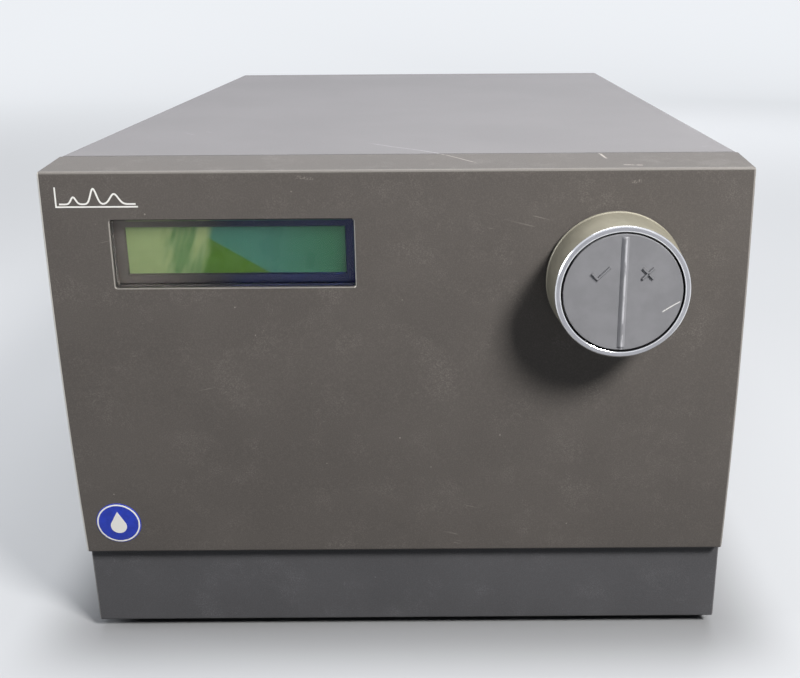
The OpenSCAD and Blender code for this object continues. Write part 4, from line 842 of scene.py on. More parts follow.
PAST = 2 * MM                                   # how far a hollow's cutter runs out of its piece
FACE_STEPS = 48
OPENING_CORNER, OPENING_DEPTH = 0.8 * MM, 12 * MM
FLARE = 0.3 * MM                                # how far before the face its cutter starts
SKIRT = 18.5 * MM                               # depth of the selector's skirt
KNOB_HOLE, KNOB_SEAT, KNOB_BACK = 17.95 * MM, 25.5 * MM, 0.5 * MM
SEAT_DEPTH, SEAT_EDGE = 4.25 * MM, 0.3 * MM
SEAT = ((KNOB_HOLE, 0), (KNOB_SEAT - SEAT_EDGE, 0), (KNOB_SEAT, SEAT_EDGE),
        (KNOB_SEAT, SEAT_DEPTH), (KNOB_HOLE, SEAT_DEPTH))
BOSS_INSET, BOSS_IN_Z = 7.5 * MM, 11 * MM       # how far in from the edges the screws stand
PLINTH_INSET = 3 * BOSS_INSET                   # the same for the plinth's two
BOSS_R, BOSS_BORE, BOSS_ROOT = 4 * MM, 1.55 * MM, 0.3 * MM
SCREW_HEAD = 2.9 * MM


def section_of_bezel(case, inset, back):
    """Side outline of the bezel in Y and Z, moved in by inset, from its foot round to the back."""
    low, high = case.bottom + inset, case.top_front - inset
    heights = [low + (high - low) * i / FACE_STEPS for i in range(FACE_STEPS + 1)]
    outline = [(case.face(z) + inset, z) for z in heights] + [(case.back, case.top - inset)]
    if back > case.back:
        outline.append((back, case.top - inset))
    return outline + [(back, low)]


def add_boss(bm, x, z, wall):
    """A screw boss from the inner face of a front wall back to the front plate."""
    front, plate = wall - BOSS_ROOT, corners("front_plate")[0].y
    add_lathe(bm, [(BOSS_BORE, front), (BOSS_R, front), (BOSS_R, plate), (BOSS_BORE, plate)],
              (x, 0, z), steps=24, closed=True)


def display_opening(case, display):
    """Cutter for the display's opening, wider towards the face so that its edge slopes."""
    x, z = centre(*corners("display_window"))
    half_w, half_h = display.opening_w / 2, display.opening_h / 2
    bm = bmesh.new()
    rows = []
    for grow, proud in ((display.lip + FLARE, FLARE), (0.0, -display.lip), (0.0, -OPENING_DEPTH)):
        around = rounded_rect(x, z, half_w + grow, half_h + grow, OPENING_CORNER + grow)
        rows.append(case.row(bm, around, proud))
    skin(bm, rows)
    return bm


def knob_hole(case, x, z):
    """Cutter for the round hole that the selector's sleeve passes through."""
    start, end = case.front - case.bulge - PAST, case.back - PAST
    bm = bmesh.new()
    add_lathe(bm, [(0, start), (KNOB_HOLE, start), (KNOB_HOLE, end), (0, end)], (x, 0, z))
    return bm


class MONITOR_OT_bezel(Operator):
    """Moulded front: convex face, round edges, display opening and knob seat"""

    bl_idname = "monitor.bezel"
    bl_label = "Bezel"

    def execute(self, context):
        shell = context.scene.monitor_shell
        case = Case(shell)
        bm = bmesh.new()
        add_prism(bm, section_of_bezel(case, 0.0, case.back), -case.half_w, case.half_w)
        bezel = mesh_object("bezel_shell", bm, finish_named("bezel"))
        soften(bezel, shell.corner, 4, angle=30)
        hollow = bmesh.new()
        inner = case.half_w - shell.wall
        add_prism(hollow, section_of_bezel(case, shell.wall, case.back + PAST), -inner, inner)
        low, high = corners("knob_ring")
        x, z = centre(low, high)
        carve(bezel, hollow, display_opening(case, context.scene.monitor_display),
              knob_hole(case, x, z))
        inside = bmesh.new()
        add_lathe(inside, SEAT, (x, low.y + SKIRT + KNOB_BACK, z), closed=True)
        for side in (-1, 1):
            for z in (case.bottom + BOSS_IN_Z, case.top_front - BOSS_IN_Z):
                add_boss(inside, side * (case.half_w - BOSS_INSET), z, case.face(z) + shell.wall)
        bmesh.ops.recalc_face_normals(inside, faces=inside.faces)
        join(inside, bezel)
        place(bezel, "case", "bezel_plastic", ["front_bezel"], angle=40)
        return {"FINISHED"}


class MONITOR_OT_plinth(Operator):
    """Set-back strip below the bezel"""

    bl_idname = "monitor.plinth"
    bl_label = "Plinth"

    def execute(self, context):
        shell = context.scene.monitor_shell
        low, high = corners("front_plinth")
        bm = bmesh.new()
        add_box(bm, low, high)
        plinth = mesh_object("plinth_strip", bm, finish_named("plinth"))
        soften(plinth, shell.corner * 0.8, 4, angle=30)
        hollow = bmesh.new()
        wall = shell.wall
        add_box(hollow, (low.x + wall, low.y + wall, low.z + wall),
                (high.x - wall, high.y + PAST, high.z - wall))
        carve(plinth, hollow)
        bosses = bmesh.new()
        z = corners("bezel_screws")[0].z + SCREW_HEAD
        for side in (-1, 1):
            add_boss(bosses, side * (high.x - PLINTH_INSET), z, low.y + wall)
        bmesh.ops.recalc_face_normals(bosses, faces=bosses.faces)
        join(bosses, plinth)
        place(plinth, "case", "bezel_plastic", ["front_plinth"], angle=40)
        return {"FINISHED"}


COUNTERSINK = ((0, 0.5), (3.6, 0.5), (3.1, 0), (1.7, -1.3), (1.7, -4), (0, -4))


def cover_screw_spots():
    """Height of the cover's side screws, and their three places along Y."""
    low, high = corners("cover_screws")
    middle, reach = (low.y + high.y) / 2, (high.y - low.y) / 2 - SCREW_HEAD
    return centre(low, high)[1], (middle - reach, middle, middle + reach)


class MONITOR_OT_cover(Operator):
    """Folded sheet cover with rounded bends and countersunk screw holes"""

    bl_idname = "monitor.cover"
    bl_label = "Cover"

    def execute(self, context):
        shell = context.scene.monitor_shell
        low, high = corners("top_cover")
        r, t = shell.cover_bend, shell.sheet
        outer = [(low.x, low.z)] + arc((low.x + r, high.z - r), r, 180, 90, 8) \
            + arc((high.x - r, high.z - r), r, 90, 0, 8) + [(high.x, low.z)]
        inner = [(high.x - t, low.z)] + arc((high.x - r, high.z - r), r - t, 0, 90, 6) \
            + arc((low.x + r, high.z - r), r - t, 90, 180, 6) + [(low.x + t, low.z)]
        bm = bmesh.new()
        add_prism(bm, outer + inner, low.y, high.y, along="y")
        cover = mesh_object("cover_sheet", bm, finish_named("cover"))
        soften(cover, 0.25 * MM, 2, angle=50)
        z, places = cover_screw_spots()
        holes = bmesh.new()
        for side in (-1, 1):
            for y in places:
                add_lathe(holes, [(r * MM, t * MM * side) for r, t in COUNTERSINK],
                          (side * high.x, y, z), along="x", steps=32)
        carve(cover, holes)
        place(cover, "case", "painted_cover", ["top_cover"], angle=40)
        return {"FINISHED"}


# ---------------------------------------------------------------- Display, badge and print


VIEW = (41.5 * MM, 9.3 * MM)                    # half the display's view area
PANE_CORNER, PANE_EDGE, PANE_LAP = 0.6 * MM, 0.2 * MM, 2 * MM
FRAME_EDGE = 0.5 * MM


class MONITOR_OT_display(Operator):
    """Clear window that follows the face, and the dark frame round the display glass"""

    bl_idname = "monitor.display"
    bl_label = "Display"

    def execute(self, context):
        display = context.scene.monitor_display
        case = Case(context.scene.monitor_shell)
        low, high = corners("display_window")
        x, z = centre(low, high)
        half_w, half_h = display.opening_w / 2 - display.gap, display.opening_h / 2 - display.gap

        def outline(grow):
            return rounded_rect(x, z, half_w + grow, half_h + grow, PANE_CORNER + grow)

        bm = bmesh.new()
        rings = [case.row(bm, outline(grow), -display.sink - depth)
                 for grow, depth in ((-PANE_EDGE, 0.0), (0.0, PANE_EDGE))]
        lap = high.x - x - half_w
        for grow, y in ((0.0, high.y - PANE_LAP), (lap, high.y - PANE_LAP), (lap, high.y)):
            rings.append([bm.verts.new((a, y, b)) for a, b in outline(grow)])
        skin(bm, rings)
        pane = mesh_object("display_pane", bm, finish_named("window"))
        place(pane, "case", "window_acrylic", ["display_window"])

        low, high = corners("lcd_frame")
        lip = corners("lcd_glass")[0].y - low.y
        wide, tall, deep = (high.x - low.x) / 2, (high.z - low.z) / 2, high.y - low.y
        steps = [(VIEW[0] - 0.4 * MM, VIEW[1] - 0.4 * MM, lip), (*VIEW, 0.0),
                 (wide - FRAME_EDGE, tall - FRAME_EDGE, 0.0), (wide, tall, FRAME_EDGE),
                 (wide, tall, deep), (wide - lip, tall - lip, deep), (wide - lip, tall - lip, lip)]
        bm = bmesh.new()
        loops = [[bm.verts.new((x + a * w, low.y + depth, z + b * h))
                  for a, b in ((1, 1), (-1, 1), (-1, -1), (1, -1))] for w, h, depth in steps]
        skin(bm, loops + loops[:1], caps=False)
        surround = mesh_object("display_surround", bm, finish_named("mask"))
        place(surround, "case", "black_metal", ["lcd_frame"])
        return {"FINISHED"}


PRINT_ROOT = 0.12 * MM                          # how deep a printed line reaches into the face


def path_sides(points):
    """Each point of a flat path with the direction to its side, which is longer at a bend."""
    last = len(points) - 1
    for i, point in enumerate(points):
        here = Vector(point)
        a = (here - Vector(points[i - 1])).normalized() if i else None
        b = (Vector(points[i + 1]) - here).normalized() if i < last else a
        a = b if a is None else a
        normal = Vector((-(a + b).y, (a + b).x)).normalized()
        yield here, normal / max(0.5, normal.dot(Vector((-a.y, a.x))))


def ribbon(bm, points, width, case, proud):
    """A flat printed line through points in X and Z, lying on the curved face."""
    rows = []
    for here, side in path_sides(points):
        left, right = here + side * width / 2, here - side * width / 2
        low = proud - PRINT_ROOT
        rows.append([bm.verts.new((p.x, case.face(p.y, q), p.y))
                     for p, q in ((left, low), (left, proud), (right, proud), (right, low))])
    skin(bm, rows)


def raised_line(bm, points, width, face, rise):
    """A raised stroke with eased edges through points in X and Z, in front of a flat face."""
    half = ((0.5, 0.2 * MM), (0.48, -rise * 0.1), (0.28, -rise * 0.9), (0.20, -rise))
    section = half + tuple((-share, depth) for share, depth in reversed(half))
    rows = []
    for here, side in path_sides(points):
        spots = [(here + side * width * share, depth) for share, depth in section]
        rows.append([bm.verts.new((p.x, face + depth, p.y)) for p, depth in spots])
    skin(bm, rows)


# the trace in millimetres: place, width and height of its peaks, then where its points lie
PEAKS = ((6.5, 0.9, 2.6), (14.0, 1.1, 5.6), (21.5, 1.5, 3.7))
TRACE_START, TRACE_STEP, TRACE_POINTS, TRACE_BASE = 1.2, 0.25, 113, 0.8
TRACE_LINE, AXIS_LINE, PROUD = 0.62 * MM, 0.55 * MM, 0.05 * MM
PRINT_IN, PRINT_DOWN = 6.2 * MM, 12.6 * MM      # from the face's left edge and from its top
AXIS_UP, AXIS_ALONG, AXIS_FOOT, AXIS_BACK = 7.0 * MM, 30 * MM, 0.2 * MM, 0.27 * MM


class MONITOR_OT_print(Operator):
    """Printed pictogram of a trace with three peaks"""

    bl_idname = "monitor.print"
    bl_label = "Pictogram"

    def execute(self, context):
        case = Case(context.scene.monitor_shell)
        x0, z0 = -case.half_w + PRINT_IN, case.top_front - PRINT_DOWN
        trace = []
        for i in range(TRACE_POINTS):
            t = TRACE_START + i * TRACE_STEP
            height = TRACE_BASE + sum(h * math.exp(-((t - at) / w) ** 2 / 2) for at, w, h in PEAKS)
            trace.append((x0 + t * MM, z0 + height * MM))
        foot, low_print = z0 - AXIS_FOOT, PROUD - 0.002 * MM
        bm = bmesh.new()
        ribbon(bm, trace, TRACE_LINE, case, PROUD)
        ribbon(bm, [(x0, z0 + AXIS_UP), (x0, foot)], AXIS_LINE, case, PROUD)
        ribbon(bm, [(x0 - AXIS_BACK, foot), (x0 + AXIS_ALONG, foot)], AXIS_LINE, case, low_print)
        mark = mesh_object("trace_pictogram", bm, finish_named("white"))
        place(mark, "case", "badge_print")
        return {"FINISHED"}


DOME = ((0, 0.46), (0.5, 0.43), (0.85, 0.36), (0.97, 0.26), (1, 0.1), (1, -0.2))
BAND = ((0.885, 0.28), (0.89, 0.36), (0.955, 0.315), (0.96, 0.22))


class MONITOR_OT_badge(Operator):
    """Round domed label with a white ring and a droplet"""

    bl_idname = "monitor.badge"
    bl_label = "Badge"

    def execute(self, context):
        case = Case(context.scene.monitor_shell)
        low, high = corners("front_badge")
        x, z = centre(low, high)
        r = (high.x - low.x) / 2

        def circle(radius, steps, up=0.0):
            turns = [2 * math.pi * k / steps for k in range(steps if radius else 1)]
            return [(x + radius * math.cos(a), z + up + radius * math.sin(a)) for a in turns]

        for name, section, finish, nodes in (("badge_dome", DOME, "badge", ["front_badge"]),
                                             ("badge_ring", BAND, "white", ())):
            bm = bmesh.new()
            skin(bm, [case.row(bm, circle(r * share, 72), proud * MM) for share, proud in section],
                 caps=False)
            place(mesh_object(name, bm, finish_named(finish)), "case", "badge_print", nodes)

        drop, sunk = 0.36 * r, -0.14 * r
        outline = [p for p in circle(drop, 48, sunk) if p[1] <= z + sunk + drop * 0.52]
        outline.sort(key=lambda p: math.atan2(p[0] - x, -(p[1] - z - sunk)))
        outline.append((x, z + 0.60 * r))
        bm = bmesh.new()
        front, rear = (case.row(bm, outline, proud * MM) for proud in (0.475, 0.30))
        bm.faces.new(front)
        skin(bm, [front, rear], caps=False)
        place(mesh_object("badge_droplet", bm, finish_named("white")), "case", "badge_print")
        return {"FINISHED"}


# ---------------------------------------------------------------- Selector ring and key disc


RING_BORE, SLEEVE, WEB, STEP = 15.05 * MM, 17.45 * MM, 7.6 * MM, 0.9 * MM
GROOVE_FROM, GROOVE_TO = 23.7 * MM, 25.0 * MM
RING_TAPER, RING_WALL = 1.5 * MM, 1.1 * MM
RING_BANDS = (2, 1, 1, 1, 3, 3, 1, 1)           # dark bore, bright edges, satin rim; then lacquer


class MONITOR_OT_ring(Operator):
    """Turning ring: tapered satin skirt with a lip at its base and a bright rim"""

    bl_idname = "monitor.ring"
    bl_label = "Selector Ring"

    def execute(self, context):
        knob = context.scene.monitor_knob
        low, high = corners("knob_ring")
        x, z = centre(low, high)
        out = (high.x - low.x) / 2
        front_r, end = out - RING_TAPER, high.y - low.y
        rim_in, c, lip = front_r - knob.rim, knob.chamfer, SKIRT - knob.lip
        skirt_in = rim_in + RING_WALL
        slope = (out - front_r) / SKIRT
        profile = [
            (rim_in, WEB), (rim_in, 0.30 * MM), (rim_in + 0.06 * MM, 0.12 * MM),
            (rim_in + 0.20 * MM, 0.02 * MM), (rim_in + 0.40 * MM, 0.0),
            (front_r - c - 0.25 * MM, 0.0), (front_r - c, 0.05 * MM),
            (front_r - 0.06 * MM, c - 0.05 * MM), (front_r + 0.02 * MM, c + 0.12 * MM),
            (front_r + slope * SKIRT * 0.5, SKIRT * 0.5),
            (out - 0.40 * MM, lip - 0.3 * MM), (out - 0.28 * MM, lip - 0.1 * MM),
            (out - 0.05 * MM, lip + 0.1 * MM), (out, lip + 0.25 * MM), (out, SKIRT - 0.2 * MM),
            (out - 0.2 * MM, SKIRT), (skirt_in, SKIRT), (skirt_in, WEB + 2.5 * MM),
            (SLEEVE, WEB + 2.5 * MM), (SLEEVE, GROOVE_FROM), (SLEEVE - STEP, GROOVE_FROM),
            (SLEEVE - STEP, GROOVE_TO), (SLEEVE, GROOVE_TO), (SLEEVE, end), (RING_BORE, end),
            (RING_BORE, WEB)]
        bands = RING_BANDS + (0,) * (len(profile) - len(RING_BANDS))
        bm = bmesh.new()
        add_lathe(bm, profile, (x, low.y, z), steps=160, closed=True, mats=bands)
        finishes = [finish_named(name) for name in ("ring", "chrome", "black", "rim")]
        ring = mesh_object("selector_ring", bm, *finishes)
        place(ring, "knob", "knob_silver", ["knob_ring"], angle=28)
        return {"FINISHED"}


RIB_RISE, RIB_END, LEGEND_UP = 0.8 * MM, 1.0 * MM, 7.2 * MM
RIB_ENDS = ((0.0, 0.55), (0.35 * MM, 0.12), (0.9 * MM, 0.0))    # way in, and share it lies lower
ROOT = 0.2 * MM                                 # how deep the rib and the signs reach into the disc
TICK = ((-1.0, 0.05), (-0.35, -0.62), (1.0, 0.72))
CROSS = (((-0.62, -0.62), (0.62, 0.62)), ((-0.62, 0.62), (0.62, -0.62)))
TICK_X, CROSS_X = -8.2 * MM, 8.6 * MM
LUG_W, LUG_H, LUG_UP = 2.9 * MM, 2 * MM, 7 * MM


def add_rib(bm, x, z, face, half, reach):
    """Adds the upright rib of the disc, with a round crest and ends that slope down."""
    crest = RIB_RISE - 0.02 * MM
    arch = [(x + half * t, face - crest * math.cos(math.pi / 2 * t) ** 1.4)
            for t in [1 - k / 10 for k in range(1, 20)]]
    sill = [(x + half, face + ROOT)] + arch + [(x - half, face + ROOT)]
    falls = [(t - reach, fall) for t, fall in RIB_ENDS]
    falls += [(-t, fall) for t, fall in reversed(falls)]
    skin(bm, [[bm.verts.new((a, min(face + ROOT, b + fall * (face - b)), z + t))
               for a, b in sill] for t, fall in falls])


class MONITOR_OT_keys(Operator):
    """Rocking key disc: eased edge, raised rib, raised tick and cross"""

    bl_idname = "monitor.keys"
    bl_label = "Key Disc"

    def execute(self, context):
        knob = context.scene.monitor_knob
        low, high = corners("key_disc")
        x, z = centre(low, high)
        r = (high.x - low.x) / 2 - 0.2 * MM
        face = low.y + RIB_RISE
        bm = bmesh.new()
        add_lathe(bm, [(0, 0), (r - 0.45 * MM, 0), (r - 0.18 * MM, 0.08 * MM),
                       (r - 0.04 * MM, 0.25 * MM), (r, 0.5 * MM), (r, 2.3 * MM),
                       (r - 0.2 * MM, 2.5 * MM), (0, 2.5 * MM)], (x, face, z), steps=128)
        add_rib(bm, x, z, face, knob.rib_w / 2, r - RIB_END)
        size = knob.legend / 2
        for at, path in ((TICK_X, TICK), *((CROSS_X, arm) for arm in CROSS)):
            points = [(x + at + a * size, z + LEGEND_UP + b * size) for a, b in path]
            raised_line(bm, points, knob.stroke, face, knob.legend_rise)
        for side in (-1, 1):
            lug = z + side * LUG_UP
            add_box(bm, (x - LUG_W, face + 2.4 * MM, lug - LUG_H),
                    (x + LUG_W, high.y - 1.4 * MM, lug + LUG_H))
        keys = mesh_object("key_disc_cap", bm, finish_named("key"))
        place(keys, "key", "key_grey", ["key_disc"], angle=32)
        return {"FINISHED"}


# ---------------------------------------------------------------- Feet and screws


FOOT_R, FOOT_BORE = 9 * MM, 1.7 * MM
RECESS_R, RECESS_DEEP = 3.9 * MM, 2 * MM        # for the screw's head


def foot_spots():
    """X and Y of the four feet."""
    low, high = corners("feet")
    return [(x, y) for x in (low.x + FOOT_R, high.x - FOOT_R)
            for y in (low.y + FOOT_R, high.y - FOOT_R)]


class MONITOR_OT_feet(Operator):
    """Four turned rubber feet with an eased edge and a screw recess"""

    bl_idname = "monitor.feet"
    bl_label = "Feet"

    def execute(self, context):
        r, h = FOOT_R, corners("feet")[1].z
        profile = [(FOOT_BORE, RECESS_DEEP), (RECESS_R, RECESS_DEEP), (RECESS_R, 0.3 * MM),
                   (4.2 * MM, 0), (r - 1.5 * MM, 0), (r - 0.9 * MM, 0.15 * MM),
                   (r - 0.6 * MM, 0.5 * MM), (r - 0.1 * MM, h - 0.5 * MM), (r, h - 0.2 * MM),
                   (r - 0.15 * MM, h), (FOOT_BORE, h)]
        bm = bmesh.new()
        for x, y in foot_spots():
            add_lathe(bm, profile, (x, y, 0), along="z", steps=48, closed=True)
        feet = mesh_object("rubber_feet", bm, finish_named("rubber"))
        place(feet, "case", "foot_rubber", ["feet"])
        return {"FINISHED"}


SLOT_REACH, SLOT_HALF, SLOT_DEPTH = 1.7 * MM, 0.42 * MM, 0.9 * MM
HEAD_RISE = 1.8 * MM
FLUSH_HEAD = mm((0, 0), (2.7, 0), (2.85, -0.1), (1.5, -1.5), (1.5, -6), (0, -6))
NUT = mm((1.5, 5.2), (2.9, 5.2), (2.9, 7.2), (1.5, 7.2))
PANEL_SCREW_X = 81 * MM


def cross_slot(bm, centre_point, along):
    """A plus-shaped prism that cuts a drive recess into a screw head."""
    w, t = SLOT_REACH, SLOT_HALF
    plus = [(w, -t), (w, t), (t, t), (t, w), (-t, w), (-t, t), (-w, t), (-w, -t), (-t, -t),
            (-t, -w), (t, -w), (t, -t)]
    axis = "xyz".index(along)
    first, second = [centre_point[k] for k in range(3) if k != axis]
    add_prism(bm, [(first + a, second + b) for a, b in plus], centre_point[axis] - SLOT_DEPTH,
              centre_point[axis] + SLOT_DEPTH, along=along)


def screws(name, spots, profile, along, sign, tip, finish):
    """A group of like screws: turned from a profile, with cross recesses."""
    bm = bmesh.new()
    slots = bmesh.new()
    turned = [(r, t * sign) for r, t in profile]
    for spot in spots:
        add_lathe(bm, turned, spot, along=along, steps=32)
        top = Vector(spot)
        top["xyz".index(along)] += tip * sign
        cross_slot(slots, top, along)
    group = mesh_object(name, bm, finish_named(finish))
    carve(group, slots)
    return group


def pan_head(length):
    """Profile of a domed screw from the crown to the end of its shank."""
    dome = ((0, 1), (0.45, 0.97), (0.78, 0.82), (0.95, 0.5), (1, 0.15), (1, 0))
    shank = 1.5 * MM
    return [(SCREW_HEAD * a, HEAD_RISE * b) for a, b in dome] \
        + [(shank, 0), (shank, -length), (0, -length)]


class MONITOR_OT_screws(Operator):
    """Visible screws of the cover, the rear panel and the feet, with cross recesses"""

    bl_idname = "monitor.screws"
    bl_label = "Screws"

    def execute(self, context):
        reach = corners("cover_screws")[1].x
        z, places = cover_screw_spots()
        for side, name in ((-1, "cover_screws_left"), (1, "cover_screws_right")):
            spots = [(side * reach, y, z) for y in places]
            made = screws(name, spots, FLUSH_HEAD, "x", side, 0, "black_screw")
            place(made, "case", "black_screw", ["cover_screws"])
        low, high = corners("rear_screws")
        fan_low, fan_high = corners("fan_frame")
        fan = (fan_low + fan_high) / 2
        y = high.y - HEAD_RISE
        off = (fan_high.x - fan_low.x) / 2 - 4.25 * MM
        spots = [(fan.x + sx * off, y, fan.z + sz * off) for sx in (-1, 1) for sz in (-1, 1)]
        spots += [(side * PANEL_SCREW_X, y, low.z + SCREW_HEAD) for side in (-1, 1)]
        made = screws("panel_screws", spots, pan_head(6 * MM), "y", 1, HEAD_RISE, "screw")
        place(made, "case", "screw_steel", ["rear_screws"])
        seat = corners("foot_screws")[0].z + HEAD_RISE
        made = screws("foot_screws_and_nuts", [(x, y, seat) for x, y in foot_spots()],
                      pan_head(5.7 * MM), "z", -1, HEAD_RISE, "screw")
        bm = bmesh.new()
        for x, y in foot_spots():
            add_lathe(bm, NUT, (x, y, 0), along="z", steps=6, closed=True)
        join(bm, made)
        place(made, "case", "screw_steel", ["foot_screws"])
        return {"FINISHED"}


# ---------------------------------------------------------------- Back panel pieces


FLANGE_RIM, FLANGE_CORNER = 3 * MM, 3 * MM
SOCKET_W, SOCKET_H, SOCKET_KEY, SOCKET_DEEP = 12 * MM, 8.25 * MM, 4 * MM, 20 * MM
WELL_W, WELL_H, WELL_DEEP = 6.5 * MM, 10.5 * MM, 10 * MM
DRAWER_W, DRAWER_H, DRAWER_DEEP = 11.05 * MM, 6.05 * MM, 26.5 * MM
ROCKER_FROM_TOP, DRAWER_FROM_FOOT = 13 * MM, 9 * MM


def add_plate(bm, low, high, r, start):
    """Adds a plate with round corners that fills two corners in X and Z, from start to high.y."""
    half_w, half_h = (high.x - low.x) / 2, (high.z - low.z) / 2
    add_prism(bm, rounded_rect(*centre(low, high), half_w, half_h, r), start, high.y, along="y")


class MONITOR_OT_inlet(Operator):
    """Combined mains inlet: flange, keyed socket, rocker well and fuse drawer slot"""

    bl_idname = "monitor.inlet"
    bl_label = "Mains Inlet"

    def execute(self, context):
        low, high = corners("mains_inlet")
        x, z = centre(low, high)
        wall = corners("rear_panel")[1].y
        bm = bmesh.new()
        add_plate(bm, low, high, FLANGE_CORNER, wall)
        inlet = mesh_object("mains_inlet_module", bm, finish_named("black"))
        soften(inlet, 0.7 * MM)
        body = bmesh.new()
        rim = FLANGE_RIM
        add_box(body, (low.x + rim, low.y, low.z + rim),
                (high.x - rim, wall + 0.5 * MM, high.z - rim))
        carve(inlet, body, operation="UNION")
        cut = bmesh.new()
        w, h, key, front = SOCKET_W, SOCKET_H, SOCKET_KEY, high.y + 1 * MM
        keyed = [(x - w, z - h), (x + w, z - h), (x + w, z + h - key), (x + w - key, z + h),
                 (x - w + key, z + h), (x - w, z + h - key)]
        add_prism(cut, keyed, high.y - SOCKET_DEEP, front, along="y")
        for at, w, h, deep in ((high.z - rim - ROCKER_FROM_TOP, WELL_W, WELL_H, WELL_DEEP),
                               (low.z + rim + DRAWER_FROM_FOOT, DRAWER_W, DRAWER_H, DRAWER_DEEP)):
            add_box(cut, (x - w, high.y - deep, at - h), (x + w, front, at + h))
        carve(inlet, cut)
        place(inlet, "case", "black_plastic", ["mains_inlet"], angle=40)
        return {"FINISHED"}


OFF_LEAN = math.radians(-8)
ROCKER_HALF, PIVOT_SINK = 6 * MM, 5 * MM
# the rocker's dished face and its two marks, in millimetres
CROWN, DIP, CROWN_REACH = 5.45, 1.1, 8.6
MARK_UP, MARK_RISE = 5.2, 0.04
RING_SIDES, RING_RADII = 32, (1.1, 1.6)


class MONITOR_OT_rocker(Operator):
    """Power rocker with a line and a ring on its two ends"""

    bl_idname = "monitor.rocker"
    bl_label = "Power Rocker"

    def execute(self, context):
        low, high = corners("power_rocker")
        inlet_high = corners("mains_inlet")[1]
        x, y = (low.x + high.x) / 2, inlet_high.y - PIVOT_SINK
        z = inlet_high.z - FLANGE_RIM - ROCKER_FROM_TOP
        c, s = math.cos(OFF_LEAN), math.sin(OFF_LEAN)

        def lean(b, t):
            """Y and Z of a place on the rocker, given in millimetres from its pivot."""
            return y + (b * c - t * s) * MM, z + (b * s + t * c) * MM

        def crown(t):
            return CROWN - DIP * (1 - (t / CROWN_REACH) ** 2)

        dish = [(crown(t), t) for t in [CROWN_REACH * (k / 8 - 1) for k in range(17)]]
        section = [(-3, -7), (5.1, -9.4), (5.45, -9.0)] + dish + [(5.45, 9.0), (5.1, 9.4), (-3, 7)]
        bm = bmesh.new()
        add_prism(bm, [lean(b, t) for b, t in section], x - ROCKER_HALF, x + ROCKER_HALF)
        rocker = mesh_object("rocker_cap", bm, finish_named("black"))
        soften(rocker, 0.4 * MM)
        pins = bmesh.new()
        add_lathe(pins, mm((0, -8.5), (1.5, -8.5), (1.5, 8.5), (0, 8.5)), (x, y, z), along="x",
                  steps=24)
        join(pins, rocker)
        place(rocker, "rocker", "black_plastic", ["power_rocker"], angle=40)
        inner, outer = (arc((0, 0), r, 0, 360, RING_SIDES) for r in RING_RADII)
        ring = [(inner[k], outer[k], outer[k + 1], inner[k + 1]) for k in range(RING_SIDES)]
        line = [((-0.35, -1.5), (0.35, -1.5), (0.35, 1.5), (-0.35, 1.5))]
        marks = bmesh.new()
        for up, quads in ((MARK_UP, line), (-MARK_UP, ring)):
            for quad in quads:
                spots = [(u, v + up) for u, v in quad]
                marks.faces.new([marks.verts.new((x + u * MM, *lean(crown(t) + MARK_RISE, t)))
                                 for u, t in spots])
        bmesh.ops.remove_doubles(marks, verts=marks.verts, dist=0.00001)
        signs = mesh_object("rocker_marks", marks, finish_named("white"))
        place(signs, "rocker", "badge_print")
        return {"FINISHED"}


PLATE_THICK, PLATE_CORNER = 1.9 * MM, 1.2 * MM
# the drawer's tray, its pocket for the fuses and its finger notch
TRAY_W, TRAY_H, TRAY_LAP, OVER = 11 * MM, 6 * MM, 0.3 * MM, 8 * MM
POCKET_W, POCKET_FLOOR, POCKET_END, POCKET_DEEP = 10 * MM, 4.5 * MM, 1 * MM, 23 * MM
NOTCH_W, NOTCH_FLOOR, NOTCH_WEB = 5 * MM, 3.5 * MM, 0.9 * MM


class MONITOR_OT_drawer(Operator):
    """Fuse drawer: eased front plate with a finger notch, and the tray behind it"""

    bl_idname = "monitor.drawer"
    bl_label = "Fuse Drawer"

    def execute(self, context):
        low, high = corners("fuse_drawer")
        x, z = centre(low, high)
        face = high.y - PLATE_THICK
        bm = bmesh.new()
        add_plate(bm, low, high, PLATE_CORNER, face)
        drawer = mesh_object("fuse_drawer_front", bm, finish_named("black"))
        soften(drawer, 0.45 * MM)
        tray = bmesh.new()
        add_box(tray, (x - TRAY_W, low.y, z - TRAY_H), (x + TRAY_W, face + TRAY_LAP, z + TRAY_H))
        carve(drawer, tray, operation="UNION")
        pockets = bmesh.new()
        top = z + OVER
        add_box(pockets, (x - POCKET_W, low.y + POCKET_END, z - POCKET_FLOOR),
                (x + POCKET_W, low.y + POCKET_DEEP, top))
        add_box(pockets, (x - NOTCH_W, face + NOTCH_WEB, z + NOTCH_FLOOR),
                (x + NOTCH_W, high.y + 1 * MM, top))
        carve(drawer, pockets)
        place(drawer, "fuse_tray", "black_plastic", ["fuse_drawer"], angle=40)
        return {"FINISHED"}


PANEL = 1.5 * MM                                # thickness of the rear panel
PORT_W, PORT_H, CORE_W, CORE_H = 15.4 * MM, 6.2 * MM, 9.5 * MM, 5 * MM
CONTACT = mm((0, 1), (0.62, 1), (0.62, -5), (0, -5))
CONTACT_ROWS, CONTACT_PITCH = ((5, 1.42 * MM), (4, -1.42 * MM)), 2.77 * MM
SHELL_RIM, PORT_FLANGE, CORE_LAP = 0.7 * MM, 1 * MM, 0.1 * MM


